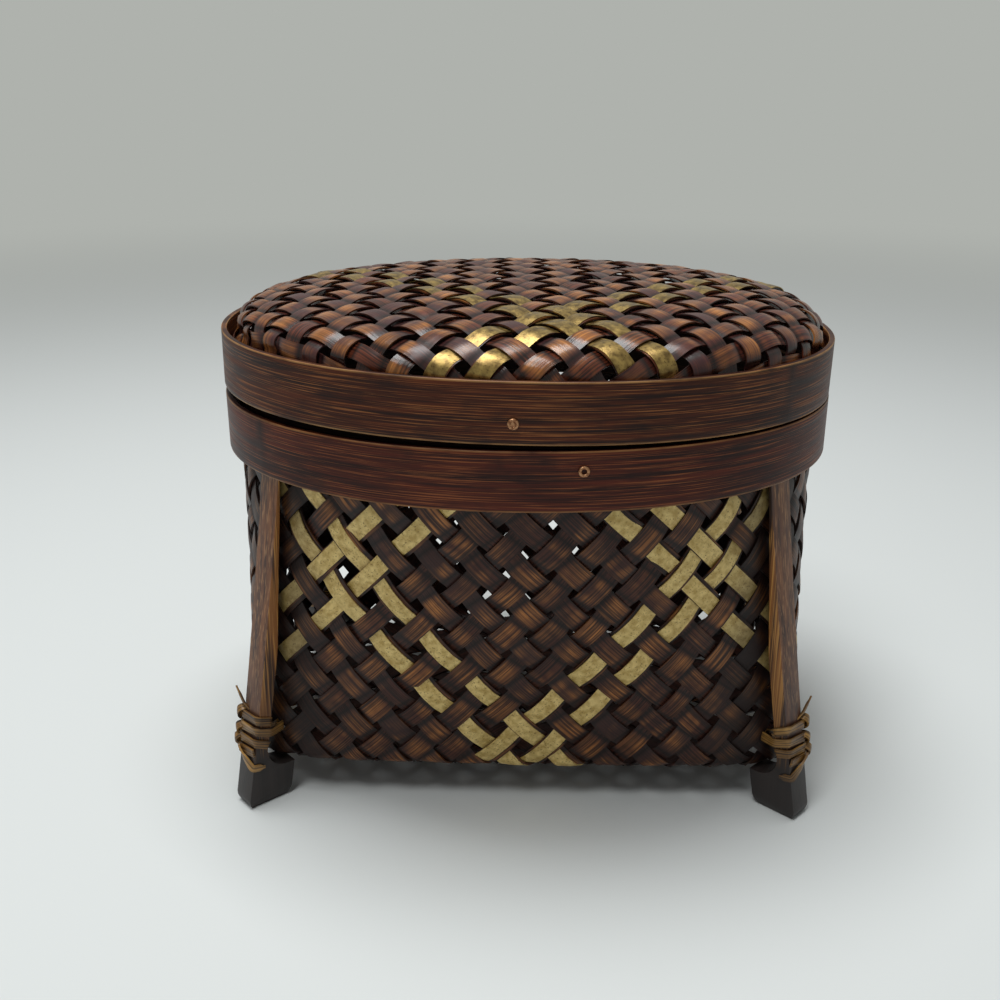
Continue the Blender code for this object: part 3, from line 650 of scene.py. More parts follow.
# %% Laying the strips of the body
body_blank = blank_strip(150)
body_strips, gold_laid = {"falling": [], "rising": []}, []
for kind, places, first, gilded in (
    ("falling", falling, FIRST_FALLING, gold_falling),
    ("rising", rising, FIRST_RISING, gold_rising),
):
    for step, place in enumerate(places):
        index = first + step
        body_strips[kind].append(lay_body_strip(kind, index, place))
        if index in gilded or index - STRIPS_ROUND // 2 in gilded:
            gold_laid.append(lay_body_strip(kind, index, place, gold=True))

thick_weave("body_strips_falling", body_strips["falling"], STRIP_THICKNESS, stained_strips,
            "basket", "woven_body", "basket_weave")
thick_weave("body_strips_rising", body_strips["rising"], STRIP_THICKNESS, stained_strips,
            "basket", "woven_body")
thick_weave("body_gold_strips", gold_laid, GOLD_THICKNESS, gold_strips, "basket", "woven_body")

# %% [markdown]
# ## The mat under the body
#
# The weaver began with a flat mat and turned its strips up for the walls. From below the mat is
# a plain diagonal weave whose strips run into the bottom edge.

# %% The base mat
MAT_STRIPS, MAT_STEP, MAT_EDGE, MAT_REACH = range(-11, 12), 12.45 * MM, 3.0 * MM, 140 * MM
MAT_SWING, MAT_RISE, FEWEST_POINTS = 0.45 * MM, 0.7 * MM, 150


def mat_surface(across, deep):
    return np.stack([across, -deep, np.full_like(across, WALL_BOTTOM + MAT_RISE)], axis=-1)


mat_strips = []
for lean in (1, -1):
    for index in MAT_STRIPS:
        travel = np.linspace(-MAT_REACH, MAT_REACH, 2000)
        x, y = index * MAT_STEP + travel, travel * lean
        inside = (np.abs(x / (BASE_WIDTH / 2 - MAT_EDGE)) ** BASE_ROUNDNESS
                  + np.abs(y / (BASE_DEPTH / 2 - MAT_EDGE)) ** BASE_ROUNDNESS) < 1
        if inside.sum() < FEWEST_POINTS:
            continue
        x, y = x[inside], y[inside]
        over = lean * wave(index + (x + y * lean) / MAT_STEP, BODY_FLATNESS)
        few = np.linspace(0, len(x) - 1, PATH_POINTS).astype(int)
        mat_strips.append(lay_strip(
            f"mat_{lean}_{index}", body_blank, mat_surface, np.stack([x, -y], axis=1)[few],
            (1, 1), over[few], MAT_SWING, 0.0, STRIP_WIDTH))
thick_weave("base_mat_strips", mat_strips, STRIP_THICKNESS, stained_strips,
            "basket", "woven_body", "basket_mat")
bpy.data.objects.remove(body_blank)

# %% [markdown]
# ## The bent hoops
#
# Each hoop is one split strip of thick bamboo, bent round the rim with its skin outside, so its
# grain runs round the basket in fine level lines. It was stained dark, and its cut edges are
# pale, partly rubbed wood and partly a painted highlight along the rounded edge. A knot of the
# cane shows as a faint mark across it. A ring of points is laid on the oval, extruded down in
# steps, given its thickness and its rounded edges, and its UV map runs along and across the
# strip, from a seam at the back.
#
# The finish has fine pale and dark fibre lines about a third of a millimetre apart, broad bands
# and clouds where the stain took unevenly, and one darker knot.

# %% Stained bamboo of the hoops
HOOP_GRAIN = {
    "fine": ((27.778 * MM, 0.30303 * MM, 1), 3.0),
    "broad": ((71.429 * MM, 1.6129 * MM, 1), 3.0),
    "cloud": ((18.182 * MM, 9.0909 * MM, 1), 3.0),
}
NODE_FROM, NODE_TO = 3.0 * MM, 0.3 * MM


def hoop_finish(name, dark, brown, line, pale, knot_at):
    material, tree, shader = new_finish(name)
    uv = add_node(tree, "UVMap", uv_map="strip")
    fine, broad, cloud = grain(tree, uv, 0.6, **HOOP_GRAIN).values()
    from_knot = add_node(tree, "Math", {
        0: add_node(tree, "SeparateXYZ", {0: uv}).outputs["X"], 1: knot_at},
        operation="SUBTRACT")
    from_knot = add_node(tree, "Math", {0: from_knot}, operation="ABSOLUTE")
    knot = (from_knot, NODE_FROM, NODE_TO)
    edge = add_node(tree, "Attribute", attribute_name="edge").outputs["Fac"]
    base = stain(
        tree, colour(dark), (brown, broad, 0.38, 0.64), (line, fine, 0.54, 0.63, 0.0, 0.9),
        ("#1a0b07", fine, 0.46, 0.36, 0.0, 0.8), ("#1c0f0e", cloud, 0.52, 0.70, 0.0, 0.7),
        ("#241310", factor(tree, knot, (broad, 0.35, 0.6, 0.25, 0.9))),
        (dark, edge, 0.0, -0.8, 0.0, 0.7),
        # The pale edge is partly rubbed wood and partly a painted highlight along the bevel.
        (pale, factor(tree, (edge, 0.85, 1.0), (cloud, 0.66, 0.42, 0.1, 0.8))))
    relief = add_node(tree, "Math", {0: factor(tree, knot), 1: 0.6, 2: fine},
                      operation="MULTIPLY_ADD")
    set_inputs(tree, shader, {
        "Base Color": base, "Specular IOR Level": 0.2,
        "Roughness": factor(tree, (broad, 0.3, 0.7, 0.36, 0.5)),
        "Normal": add_node(tree, "Bump", {
            "Height": relief, "Strength": 0.45, "Distance": 0.12 * MM})})
    return material


lid_hoop_bamboo = hoop_finish(
    "bent_bamboo_lid_hoop", "#250e08", "#552713", "#915a31", "#a57c4e", 332.7 * MM)
body_hoop_bamboo = hoop_finish(
    "bent_bamboo_body_hoop", "#280d09", "#562214", "#8c502c", "#94683e", 179.8 * MM)
ring_bamboo = hoop_finish(
    "inner_bamboo_ring", "#150c09", "#33201a", "#4a3022", "#5a402e", 100.0 * MM)
print("hoop finishes made")

# %% One bent hoop
HOOP_POINTS, HOOP_ROWS, HOOP_BEVEL = 256, 8, 0.35 * MM
ON_RIM, ON_BEVEL = 0.04 * MM, 0.36 * MM


def bent_hoop(name, inset, thickness, bottom, top, seat):
    line, length = hoop_oval(inset + thickness / 2, HOOP_POINTS)
    line = np.roll(line[:-1], -HOOP_POINTS // 4, axis=0)
    bpy.ops.object.select_all(action="DESELECT")
    bpy.ops.mesh.primitive_circle_add(vertices=HOOP_POINTS, radius=0.1)
    hoop = bpy.context.object
    hoop.name = name
    for vertex, (x, y) in zip(hoop.data.vertices, line):
        vertex.co = (x, y, top)
    bpy.ops.object.mode_set(mode="EDIT")
    for row in range(HOOP_ROWS):
        bpy.ops.mesh.extrude_region_move(
            TRANSFORM_OT_translate={"value": (0, 0, (bottom - top) / HOOP_ROWS)})
    bpy.ops.mesh.select_all(action="SELECT")
    bpy.ops.mesh.normals_make_consistent(inside=False)
    bpy.ops.object.mode_set(mode="OBJECT")
    apply_modifier(hoop, "SOLIDIFY", thickness=thickness, offset=0, use_even_offset=True)
    apply_modifier(hoop, "BEVEL", width=HOOP_BEVEL, segments=3, limit_method="ANGLE",
                   angle_limit=math.radians(50))
    spread_hoop_map(hoop, line, length, bottom, top)
    hoop.data.transform(seat)
    smooth_faces(hoop, 60)
    return hoop


def spread_hoop_map(hoop, line, length, bottom, top):
    """Sets the UV map to metres along the hoop and up it, and marks its cut edges, with one
    on the bevels and minus one on the flat rims."""
    mesh = hoop.data
    points = np.empty(len(mesh.vertices) * 3)
    mesh.vertices.foreach_get("co", points)
    points = points.reshape(-1, 3)
    way = np.unwrap(np.arctan2(line[:, 1], line[:, 0]))
    angle = np.arctan2(points[:, 1], points[:, 0])
    angle = way[0] + (angle - way[0]) % (2 * math.pi)
    along = np.interp(angle, np.append(way, way[0] + 2 * math.pi),
                      np.linspace(0, length, len(line) + 1))
    near = np.minimum(points[:, 2] - bottom, top - points[:, 2])
    edge = np.where(near > ON_RIM, 1.0 * (near < ON_BEVEL), -1)
    mesh.attributes.new("edge", "FLOAT", "POINT").data.foreach_set(
        "value", edge.astype(np.float32))
    layer = mesh.uv_layers.new(name="strip") if not mesh.uv_layers else mesh.uv_layers[0]
    layer.name = "strip"
    for face in mesh.polygons:
        corners = [along[index] for index in face.vertices]
        wrap = max(corners) - min(corners) > length / 2
        for loop, index, where in zip(face.loop_indices, face.vertices, corners):
            if wrap and where < length / 2:
                where += length
            layer.uv[loop].vector = (where, points[index, 2])


# %% The four hoops
COLLAR_INSET, COLLAR_THICKNESS = 5.3 * MM, 1.4 * MM
COLLAR_DEPTH, COLLAR_PROUD = 14.5 * MM, 4.8 * MM
LID_RING_INSET, LID_RING_THICKNESS = 3.6 * MM, 1.2 * MM
LID_RING_LOW, LID_RING_DROP = 0.6 * MM, 6 * MM
LID_EDGE, LID_GAP, LID_TILT = HOOP_HEIGHT / 2, 0.3 * MM, math.radians(0.75)
LID_MIDDLE = (BODY_HOOP_TOP + LID_GAP + HOOP_WIDTH / 2 * math.sin(LID_TILT)
              + LID_EDGE * math.cos(LID_TILT))
lid_seat = Matrix.Translation((0, 0, LID_MIDDLE)) @ Matrix.Rotation(LID_TILT, 4, "Y")

for name, node, inset, thickness, bottom, top, seat, bamboo, body, slot in (
    ("body_hoop", "body_hoop_outer", 0, HOOP_THICKNESS, BODY_HOOP_BOTTOM, BODY_HOOP_TOP,
     Matrix(), body_hoop_bamboo, "basket", "stained_bamboo"),
    ("body_collar", "body_hoop_inner", COLLAR_INSET, COLLAR_THICKNESS,
     BODY_HOOP_TOP - COLLAR_DEPTH, BODY_HOOP_TOP + COLLAR_PROUD,
     Matrix(), ring_bamboo, "basket", "dark_bamboo"),
    ("lid_hoop", "lid_hoop_outer", 0, HOOP_THICKNESS, -LID_EDGE, LID_EDGE,
     lid_seat, lid_hoop_bamboo, "lid", "stained_bamboo"),
    ("lid_ring", "lid_hoop_inner", LID_RING_INSET, LID_RING_THICKNESS,
     LID_RING_LOW - LID_EDGE, LID_EDGE - LID_RING_DROP,
     lid_seat, ring_bamboo, "lid", "dark_bamboo"),
):
    hoop = bent_hoop(name, inset, thickness, bottom, top, seat)
    finish_piece(hoop, bamboo, body, slot, node)

# %% [markdown]
# ## The woven lid
#
# The lid is a flat diagonal mat pressed into a low dome. So the strips are straight lines on a
# flat mat, and one function bends the mat over the dome: the distance from the middle is
# measured along the dome's curve, and past the rim it runs down inside the hoop. Just above the
# hoop the dome is drawn in a little, most at its two ends, and leaves a dark gap there.

# %% The dome's surface
DOME_SHOULDER_RISE, DOME_SHOULDER_POWER = 8.2 * MM, 9.0
DOME_RIGHT_SHARE, DOME_FRONT_SHARE, DOME_CROWN_RISE = 0.12, -0.05, 4.0 * MM
DOME_INSET, SKIRT_DEPTH = 1.9 * MM, 13.5 * MM
DOME_PULL, DOME_END_PULL, DOME_LEFT_PULL = 0.7 * MM, 2.0 * MM, 0.9 * MM
PULL_FROM, PULL_FADE = 0.84, 7 * MM
MEAN_RADIUS = 78.0 * MM

dome_shares = 1 - np.linspace(1, 0, 1200) ** 2
dome_heights = (
    DOME_SHOULDER_RISE * np.sqrt(np.maximum(1 - dome_shares**DOME_SHOULDER_POWER, 0))
    + DOME_CROWN_RISE * (1 - dome_shares**2))
dome_arc = length_along(np.stack([dome_shares * MEAN_RADIUS, dome_heights], axis=1))
dome_arc /= MEAN_RADIUS


def lid_radius(way):
    width, depth = HOOP_WIDTH / 2 - DOME_INSET, HOOP_DEPTH / 2 - DOME_INSET
    return (np.abs(way[..., 0] / width) ** HOOP_ROUNDNESS
            + np.abs(way[..., 1] / depth) ** HOOP_ROUNDNESS) ** (-1 / HOOP_ROUNDNESS)


def lid_surface(x, y):
    """A point of the lid's outer face, from a place on the flat mat."""
    distance = np.hypot(x, y) + 1e-9
    way = np.stack([x / distance, y / distance], axis=-1)
    radius = lid_radius(way)
    run = distance / radius
    share = np.interp(run, dome_arc, dome_shares)
    rise = np.interp(share, dome_shares, dome_heights)
    past = np.maximum(run - dome_arc[-1], 0) * radius
    drawn = np.clip((run - PULL_FROM) / (dome_arc[-1] - PULL_FROM), 0, 1) ** 2
    drawn = drawn * np.clip(1 - past / PULL_FADE, 0, 1)
    ends = (DOME_END_PULL - DOME_LEFT_PULL * way[..., 0]) * way[..., 0] ** 2
    pull = drawn * (DOME_PULL + ends)
    flat = way * (radius * share - pull)[..., None]
    skew = (DOME_RIGHT_SHARE * flat[..., 0] / HOOP_WIDTH
            - DOME_FRONT_SHARE * flat[..., 1] / HOOP_DEPTH)
    height = LID_EDGE + rise * (1 + 2 * skew) - past
    local = np.concatenate([flat, height[..., None]], axis=-1)
    seat = np.array(lid_seat)
    return local @ seat[:3, :3].T + seat[:3, 3]


print("the flat mat reaches", np.round(dome_arc[-1], 3), "of the rim's radius before the hoop")

# %% Laying the strips of the lid
LID_ACROSS, LID_DEEP = 12.4 * MM, 12.6 * MM
LID_SHIFT_X, LID_SHIFT_Y, LID_LEAN = 1.8 * MM, 4.0 * MM, -0.02
LID_STRIP_WIDTH, LID_STRIP_THICKNESS = 5.3 * MM, 0.45 * MM
LID_SWING, LID_MID, LID_FLATNESS = 0.72 * MM, 0.5 * MM, 0.15
LID_GOLD_THICKNESS, LID_GOLD_LIFT, LID_GOLD_SHARE = 0.28 * MM, 0.38 * MM, 0.94
LID_STRIPS, LID_REACH, LID_MARGIN = range(-15, 16), 15, 1 * MM
LID_PLACES, LID_PATH_POINTS, LID_FEWEST_POINTS = 6000, 600, 600
lid_gilded = {1: (4, 5), -1: (-4, -3)}

lid_blank = blank_strip(230)
lid_strips_laid, lid_gold_laid = {1: [], -1: []}, []
for lean in (1, -1):
    for index in LID_STRIPS:
        travel = np.linspace(-LID_REACH, LID_REACH, LID_PLACES)
        y = lean * (travel - index) / 2 * LID_DEEP + LID_SHIFT_Y
        x = (index + travel) / 2 * LID_ACROSS + LID_SHIFT_X + LID_LEAN * y
        reach = np.hypot(x, y)
        limit = lid_radius(np.stack([x, y], axis=-1) / reach[:, None]) * dome_arc[-1]
        inside = reach < limit + SKIRT_DEPTH - LID_MARGIN
        if inside.sum() < LID_FEWEST_POINTS:
            continue
        x, y, number = x[inside], y[inside], travel[inside]
        over = lean * wave(index + number, LID_FLATNESS)
        few = np.linspace(0, len(x) - 1, LID_PATH_POINTS).astype(int)
        path = np.stack([x, y], axis=1)[few]
        for gold in ((False, True) if index in lid_gilded[lean] else (False,)):
            strip = lay_strip(
                f"lid_{lean}_{index}", lid_blank, lid_surface, path, (1, 1), over[few],
                LID_SWING, -LID_MID + (LID_GOLD_LIFT if gold else 0),
                LID_STRIP_WIDTH * random.uniform(0.95, 1.05) * (LID_GOLD_SHARE if gold else 1))
            (lid_gold_laid if gold else lid_strips_laid[lean]).append(strip)
thick_weave("lid_strips_rising", lid_strips_laid[1], LID_STRIP_THICKNESS, lid_strips,
            "lid", "woven_lid", "lid_weave")
thick_weave("lid_strips_falling", lid_strips_laid[-1], LID_STRIP_THICKNESS, lid_strips,
            "lid", "woven_lid")
thick_weave("lid_gold_strips", lid_gold_laid, LID_GOLD_THICKNESS, lid_gold_strips,
            "lid", "woven_lid")
bpy.data.objects.remove(lid_blank)

# %% [markdown]
# ## The legs
#
# A leg is one split piece of thick bamboo: a long slat that was pared thin, with its knot end
# left thick as the foot. It starts as a cube, whose top is extruded upwards step by step, and
# each ring of points is then set to the leg's width, its curved face and its pared back.

# %% Where a leg stands
LEG_STAND, LEG_FLARE_SHARE, LEG_SWAY = 9.0 * MM, 0.21, 1.3 * MM
SLAT_TOP_WIDTH, SLAT_THICKNESS, FOOT_WIDTH = 9.0 * MM, 4.2 * MM, 7.8 * MM
FOOT_THICKNESS, FOOT_HEIGHT, FOOT_FILLET = 14.2 * MM, 11 * MM, 6.5 * MM
LEG_TIP_THICKNESS, LEG_CLEARANCE = 1.2 * MM, 0.9 * MM
CORNERS = {"front_left": (-1, -1), "front_right": (1, -1),
           "back_left": (-1, 1), "back_right": (1, 1)}


def wall_distance(height, aside=0.0):
    """How far out the wall stands from a leg's point, at a height and aside of the leg."""
    shares = np.linspace(0, 0.25, 600)
    points = body_surface(shares, np.full(600, BODY_HOOP_BOTTOM - height))[:, :2] - LEG_POINT
    side = points @ ALONG
    order = np.argsort(side)
    return float(np.interp(aside, side[order], (points @ OUT)[order]))


splay = wall_distance(WALL_BOTTOM + BASE_EDGE_RADIUS) + SLAT_THICKNESS + LEG_STAND


def leg_face(height):
    drop = max(1 - height / BODY_HOOP_BOTTOM, 0)
    return splay * drop * (1 - LEG_FLARE_SHARE * (1 - drop))


def leg_half_width(height):
    down = min(max(1 - height / BODY_HOOP_BOTTOM, 0), 1)
    return (SLAT_TOP_WIDTH + (FOOT_WIDTH - SLAT_TOP_WIDTH) * down) / 2


def slat_back(height):
    half = leg_half_width(height)
    wall = max(wall_distance(height, aside) for aside in (-half, 0, half))
    return max(leg_face(height) - SLAT_THICKNESS, wall + LEG_CLEARANCE)


def leg_back(height):
    """The pared back of the slat, the hollow above the foot's shoulder, and the foot's back."""
    if height >= BODY_HOOP_BOTTOM:
        return -LEG_TIP_THICKNESS
    if height <= FOOT_HEIGHT:
        return leg_face(height) - FOOT_THICKNESS
    left = max(FOOT_HEIGHT + FOOT_FILLET - height, 0) / FOOT_FILLET
    if not left:
        return slat_back(height)
    return slat_back(FOOT_HEIGHT + FOOT_FILLET) - FOOT_FILLET * (1 - math.sqrt(1 - left**2))


print(f"a foot stands {splay / MM:.1f} mm out from the hoop")

# %% [markdown]
# The skin side of the slat is smooth and grey brown. Its cut sides show the fibres end to end,
# in golden and dark streaks. The foot was charred almost black, and the stain fades upwards.

# %% Split bamboo of the legs
leg_bamboo, tree, shader = new_finish("split_bamboo_leg")
place = add_node(tree, "TexCoord").outputs["Object"]
fine, broad = grain(
    tree, place, fine=((0.52632 * MM, 0.52632 * MM, 62.5 * MM), 3.0),
    broad=((1.92308 * MM, 1.92308 * MM, 83.333 * MM), 3.0)).values()
height = add_node(tree, "SeparateXYZ", {0: place}).outputs["Z"]
cut = add_node(tree, "Attribute", attribute_name="cut_side").outputs["Fac"]
skin = stain(tree, colour("#3c2014"), ("#80502e", broad, 0.35, 0.7),
             ("#a37850", fine, 0.52, 0.66, 0.0, 0.75))
fibres = stain(tree, colour("#2c170d"), ("#8c5826", broad, 0.44, 0.56),
               ("#bb8644", fine, 0.5, 0.62, 0.0, 0.9))
grey = factor(tree, (height, 56 * MM, 26 * MM, 0.0, 0.65), (cut, 0.0, 1.0, 1.0, 0.75))
char = stain(tree, colour("#120f0f"), ("#342b28", broad))
set_inputs(tree, shader, {
    "Base Color": stain(tree, skin, (fibres, cut), ("#382825", grey),
                        (char, height, 23 * MM, 15 * MM)),
    "Roughness": 0.44, "Specular IOR Level": 0.4,
    "Normal": add_node(tree, "Bump", {"Height": fine, "Strength": 0.4, "Distance": 0.12 * MM})})
print("leg finish made")

# %% One leg, copied to four corners
# The heights of a leg's rings of points in millimetres, closest at the foot's shoulder.
LEG_LEVELS = ([0, 0.5, 1.2, 2.0, 3, 5, 7, 9, 10.6, 11.0, 11.03, 11.2, 11.6, 12.2, 13, 14, 15.5,
               17.5] + list(np.linspace(20, 101, 27)) + [102.5, 107, 112.3])
FOOT_TRIM, FOOT_TRIM_HEIGHT, FOOT_TRIM_POWER, LEG_BEVEL = 1.5 * MM, 3.0 * MM, 1.8, 0.5 * MM


def shape_leg_point(vertex, corner):
    """Moves a point of the stretched cube to its place on the leg."""
    height = LEG_LEVELS[int(round(vertex.co.z + 0.5))] * MM
    outside, side = vertex.co.x > 0, (1 if vertex.co.y > 0 else -1)
    trim = max(1 - height / FOOT_TRIM_HEIGHT, 0) ** FOOT_TRIM_POWER * FOOT_TRIM
    where = (leg_face(height) - trim) if outside else (leg_back(height) + trim)
    sway = LEG_SWAY * (height / BODY_HOOP_BOTTOM) ** 2
    flat = LEG_POINT + OUT * where + ALONG * (side * (leg_half_width(height) - trim / 2) + sway)
    vertex.co = (flat[0] * corner[0], flat[1] * corner[1], height)


def mark_cut_sides(leg, corner):
    """One on the faces that look along the hoop, so that the finish can show cut fibres."""
    across = Vector((ALONG[0] * corner[0], ALONG[1] * corner[1], 0))
    cut = [1.0 if abs(face.normal.dot(across)) > 0.6 else 0.0 for face in leg.data.polygons]
    leg.data.attributes.new("cut_side", "FLOAT", "FACE").data.foreach_set("value", cut)


def build_leg(name, corner):
    bpy.ops.object.select_all(action="DESELECT")
    bpy.ops.mesh.primitive_cube_add(size=1)
    leg = bpy.context.object
    leg.name = name
    bpy.ops.object.mode_set(mode="EDIT")
    mesh = bmesh.from_edit_mesh(leg.data)
    for face in mesh.faces:
        face.select = face.normal.z > 0.5
    mesh.select_flush(True)
    bmesh.update_edit_mesh(leg.data)
    for level in range(len(LEG_LEVELS) - 2):
        bpy.ops.mesh.extrude_region_move(TRANSFORM_OT_translate={"value": (0, 0, 1)})
    bpy.ops.object.mode_set(mode="OBJECT")
    for vertex in leg.data.vertices:
        shape_leg_point(vertex, corner)
    bpy.ops.object.mode_set(mode="EDIT")
    bpy.ops.mesh.select_all(action="SELECT")
    bpy.ops.mesh.normals_make_consistent(inside=False)
    bpy.ops.object.mode_set(mode="OBJECT")
    apply_modifier(leg, "BEVEL", width=LEG_BEVEL, segments=3, limit_method="ANGLE",
                   angle_limit=math.radians(40))
    mark_cut_sides(leg, corner)
    smooth_faces(leg, 50)
    return leg


for corner_name, corner in CORNERS.items():
    leg = build_leg(f"split_leg_{corner_name}", corner)
    finish_piece(leg, leg_bamboo, "basket", "dark_bamboo", f"leg_{corner_name}")

# %% [markdown]
# ## The lashings
#
# Flat split cane is wound round the slat just above the foot and through the weave behind it.
# The turns are uneven, a few short turns are pulled round the outer edge as a knot, one thin
# end sticks up and the other is drawn down over the foot. Each strand is one more strip, bent
# along a line of points in space. Split cane has a hard, yellow brown skin with a dull shine.

# %% Split cane
CANE_THICKNESS, CANE_LEVEL = 0.55 * MM, 0.7
cane = strip_finish(
    "split_cane", (0.40, 0.62), "#2a190c", "#7e5a2c", "#b48a48", "#5c4224",
    streaky=0.8, roughness=0.40, specular=0.45)
print("cane finish:", cane.name)


def smooth_line(points, window):
    """Rounds the corners of a line of points."""
    shape = np.hanning(window + 2)[1:-1]
    shape /= shape.sum()
    half = window // 2
    padded = np.vstack([points[:1].repeat(half, 0), points, points[-1:].repeat(half, 0)])
    return np.stack([np.convolve(padded[:, i], shape, "valid") for i in range(3)], axis=1)


def fine_line(corners, steps):
    """Points at equal steps along straight runs from corner to corner."""
    corners = np.asarray(corners, dtype=float)
    length = length_along(corners)
    return between(np.linspace(0, length[-1], steps), length, corners)


def lay_cane(name, points, centre, width, corner, thin_ends=0.0):
    """Lays a strand along points given as out, aside and up, flat side away from the centre."""
    def to_space(local):
        flat = LEG_POINT + local[:, :1] * OUT + local[:, 1:2] * ALONG
        return np.column_stack([flat, local[:, 2]]) * np.array([*corner, 1])

    middle = to_space(points)
    ahead = normalised(np.gradient(middle, axis=0))
    normal = middle - to_space(centre)
    normal = normalised(normal - ahead * (normal * ahead).sum(axis=1, keepdims=True))
    level = np.full(len(middle), CANE_LEVEL)
    return bend_strip(name, cane_blank, middle, normal, np.zeros(len(middle)), level, width,
                      thin_ends=thin_ends)


# %% The turns of a lashing
CANE_LOWEST, CANE_PITCH, CANE_TURNS, CANE_WIDTH = 16.8 * MM, 3.5 * MM, 3, 2.5 * MM
CANE_SEAT, CANE_BEHIND, CANE_DEEP, CANE_CLIMB = 0.45 * MM, 0.5 * MM, 1.2 * MM, 1.3 * MM
DEEP_TURN, DEEP_ASIDE = 1, 1.6 * MM


def cane_turns():
    """The line of the turns, as out from the hoop, aside and up. One turn goes through the
    weave, and the others only round the slat."""
    corners = []
    for turn_number in range(CANE_TURNS + 1):
        low = CANE_LOWEST + CANE_PITCH * turn_number + random.uniform(-0.5, 0.5) * MM
        rise = random.uniform(0.0, 0.7, 4) * MM
        face, half = leg_face(low) + CANE_SEAT, leg_half_width(low) + CANE_SEAT
        back = slat_back(low) - CANE_BEHIND
        deep = wall_distance(low) - CANE_DEEP if turn_number == DEEP_TURN else back
        turn_corners = [
            (face, half, low + CANE_CLIMB + rise[3]), (face, -half, low + rise[0]),
            (back, -half, low + rise[1]), (deep, -DEEP_ASIDE, low + 1.6 * MM),
            (deep, DEEP_ASIDE, low + 2.0 * MM), (back, half, low + CANE_PITCH - rise[2])]
        corners += turn_corners if turn_number < CANE_TURNS else turn_corners[:3]
    return smooth_line(fine_line(corners, 1500), 45)


def slat_core(line, height):
    """The middle of the slat beside each point of a line, for one height of the leg."""
    core = line.copy()
    core[:, :2] = leg_face(height) - SLAT_THICKNESS * 0.6, 0
    return core


# %% The knots and the two ends
OUTER = -1
KNOTS = ((27.5 * MM, 2.2 * MM), (23.0 * MM, 1.7 * MM), (19.0 * MM, 2.0 * MM))
KNOT_WIDTH, TAIL_WIDTH, END_WIDTH = 2.3 * MM, 0.9 * MM, 2.2 * MM
COIL_TURN, COIL_DEEP, COIL_ASIDE = 3.3 * math.pi, 2.1 * MM, 1.1 * MM
KNOT_TIP, TAIL_TIP = 1.5 * MM, 3 * MM


def cane_knot(edge, height, size):
    """A short coil at the slat's outer edge, and its middle beside each of its points."""
    spin = np.linspace(0, COIL_TURN, 160) + random.uniform(0, 2)
    middle = np.array([leg_face(height) - 1.0 * MM, edge + 0.9 * MM * OUTER, height])
    coil = np.stack([np.cos(spin) * COIL_DEEP, np.sin(spin) * COIL_ASIDE + 0.5 * MM * OUTER,
                     np.sin(spin + 0.5) * size], axis=1)
    return middle + coil, np.repeat(middle[None], len(coil), axis=0)


def cane_ends(edge):
    """The thin end that sticks up beside the slat, and the end drawn down over the foot."""
    face = leg_face(33 * MM)
    tail = [(face + 0.3 * MM, edge * 0.4, 29.5 * MM), (face + 0.9 * MM, edge, 31.5 * MM),
            (face + 0.4 * MM, edge + 4.6 * MM * OUTER, 35 * MM)]
    face = leg_face(14 * MM)
    end = [(face + 0.55 * MM, edge * 0.9, 19.5 * MM), (face + 0.6 * MM, edge * 0.2, 16 * MM),
           (face + 0.5 * MM, -edge, 13.6 * MM),
           (face - 3.5 * MM, -edge - 0.4 * MM * OUTER, 13 * MM)]
    return smooth_line(fine_line(tail, 80), 31), smooth_line(fine_line(end, 160), 31)


# %% One lashing for each leg
def build_lashing(name, corner):
    line = cane_turns()
    strands = [lay_cane(name, line, slat_core(line, 25 * MM), CANE_WIDTH, corner)]
    edge = leg_half_width(26 * MM) * OUTER
    for height, size in KNOTS:
        coil, middle = cane_knot(edge, height, size)
        strands.append(lay_cane(f"{name}_knot", coil, middle, KNOT_WIDTH, corner, KNOT_TIP))
    tail, end = cane_ends(edge)
    inwards = tail - [2 * MM, 0, 0]
    strands.append(lay_cane(f"{name}_tail", tail, inwards, TAIL_WIDTH, corner, TAIL_TIP))
    core = slat_core(end, 14 * MM)
    strands.append(lay_cane(f"{name}_end", end, core, END_WIDTH, corner, KNOT_TIP))
    return join(name, strands)


cane_blank = blank_strip(360)
for corner_name, corner in CORNERS.items():
    lashing = build_lashing(f"cane_lashing_{corner_name}", corner)
    apply_modifier(lashing, "SOLIDIFY", thickness=CANE_THICKNESS, offset=0)
    smooth_faces(lashing)
    finish_piece(lashing, cane, "basket", "split_cane", f"binding_{corner_name}")
bpy.data.objects.remove(cane_blank)

# %% [markdown]
# ## The rivets
#
# A copper rivet goes through each hoop at the front and at the back. The lid's are domed and
# the body's are open tubes, rolled over at the rim. Copper that is handled stays pink brown on
# top and goes dark in its hollows.

# %% Tarnished copper
copper, tree, shader = new_finish("tarnished_copper")
place = add_node(tree, "TexCoord").outputs["Object"]
tarnish = grain(tree, place, tarnish=([0.71429 * MM] * 3, 3.0))["tarnish"]
set_inputs(tree, shader, {
    "Base Color": stain(tree, colour("#b58a66"), ("#7d4f34", tarnish, 0.4, 0.65)),
    "Metallic": 0.9, "Roughness": factor(tree, (tarnish, 0.0, 1.0, 0.3, 0.6))})
print("copper finish made")

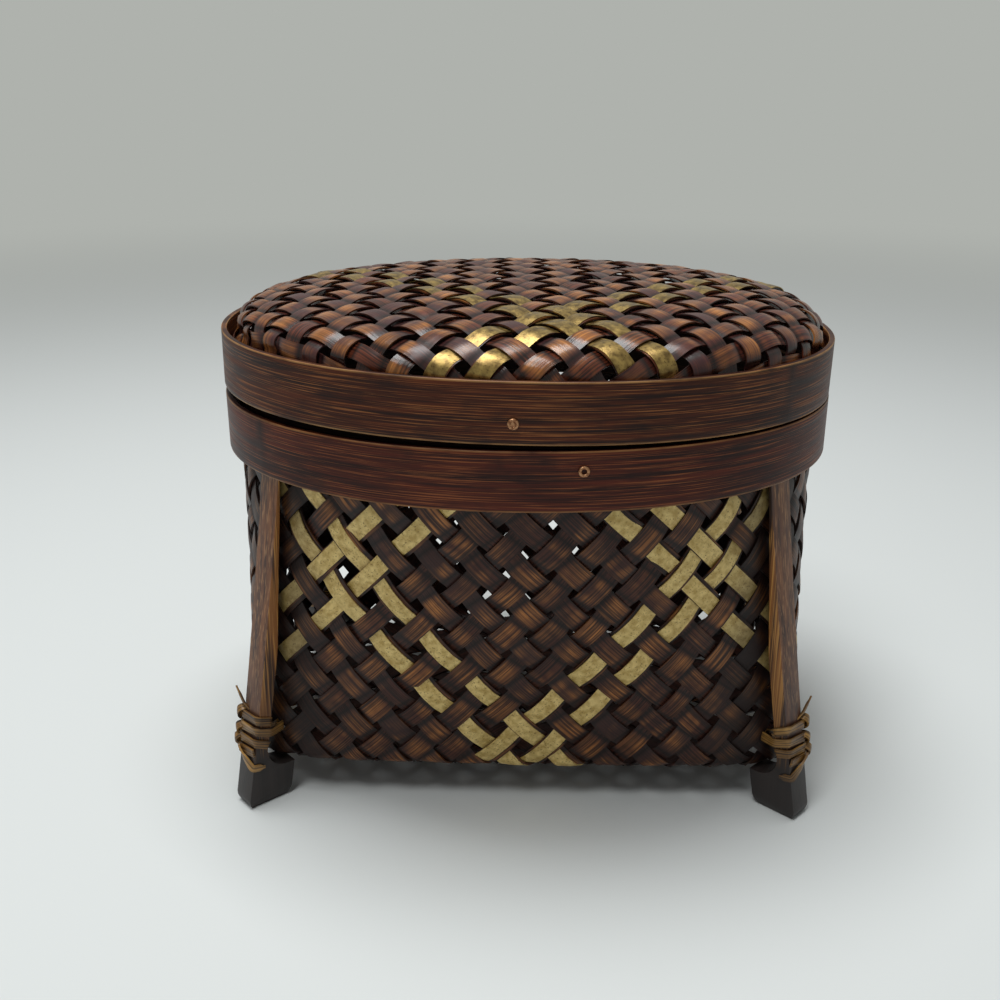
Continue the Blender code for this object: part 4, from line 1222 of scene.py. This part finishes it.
# %% Where a rivet sits
def hoop_place(offset, height, back, seat):
    """A frame on the hoop's outer face, with Z out of it, at an offset from the middle."""
    across = offset / (HOOP_WIDTH / 2)
    along = (1 - abs(across) ** HOOP_ROUNDNESS) ** (1 / HOOP_ROUNDNESS)
    lean = math.copysign(abs(across) ** (HOOP_ROUNDNESS - 1), across) / (HOOP_WIDTH / 2)
    away = -(along ** (HOOP_ROUNDNESS - 1)) / (HOOP_DEPTH / 2)
    facing = Vector((lean, away, 0)).normalized()
    point = Vector((offset, -HOOP_DEPTH / 2 * along, 0))
    if back:
        point, facing = -point, -facing
    point.z = height
    up = Vector((0, 0, 1))
    turned = Matrix((up.cross(facing), up, facing)).transposed().to_4x4()
    return seat @ Matrix.Translation(point) @ turned


# %% The four rivets
RIVET_RADIUS, ROLL_RADIUS, ROLL_RISE = 1.05 * MM, 0.45 * MM, 0.35 * MM
HEAD_RADIUS, HEAD_RISE, HEAD_FLATNESS = 0.95 * MM, 0.3 * MM, 0.55
SHANK_RADIUS, SHANK_RISE = 0.9 * MM, 0.2 * MM
RIVETS = (
    ("lid_rivet_head", "lid_rivet", "lid", -2.3 * MM, LID_EDGE - 10.6 * MM, lid_seat, 4.8 * MM),
    ("body_rivet_tube", "body_rivet", "basket", 15.3 * MM, BODY_HOOP_TOP - 5.2 * MM, Matrix(),
     6.7 * MM))


def build_rivet(name, place, domed, depth):
    bpy.ops.object.select_all(action="DESELECT")
    bpy.ops.mesh.primitive_torus_add(
        major_segments=48, minor_segments=12, major_radius=RIVET_RADIUS,
        minor_radius=ROLL_RADIUS, location=(0, 0, ROLL_RISE))
    pieces = [bpy.context.object]
    if domed:
        bpy.ops.mesh.primitive_uv_sphere_add(
            segments=32, ring_count=16, radius=HEAD_RADIUS, location=(0, 0, HEAD_RISE))
        bpy.context.object.scale = (1, 1, HEAD_FLATNESS)
        pieces.append(bpy.context.object)
    bpy.ops.mesh.primitive_cylinder_add(
        vertices=32, radius=SHANK_RADIUS, depth=depth,
        end_fill_type="NGON" if domed else "NOTHING", location=(0, 0, -depth / 2 + SHANK_RISE))
    pieces.append(bpy.context.object)
    rivet = join(name, pieces)
    bpy.ops.object.transform_apply(location=True, rotation=True, scale=True)
    rivet.data.transform(place)
    smooth_faces(rivet)
    return rivet


for where, back in (("front", False), ("back", True)):
    for name, node, body, offset, height, seat, depth in RIVETS:
        place = hoop_place(offset, height, back, seat)
        rivet = build_rivet(f"{name}_{where}", place, body == "lid", depth)
        finish_piece(rivet, copper, body, "copper", f"{node}_{where}")
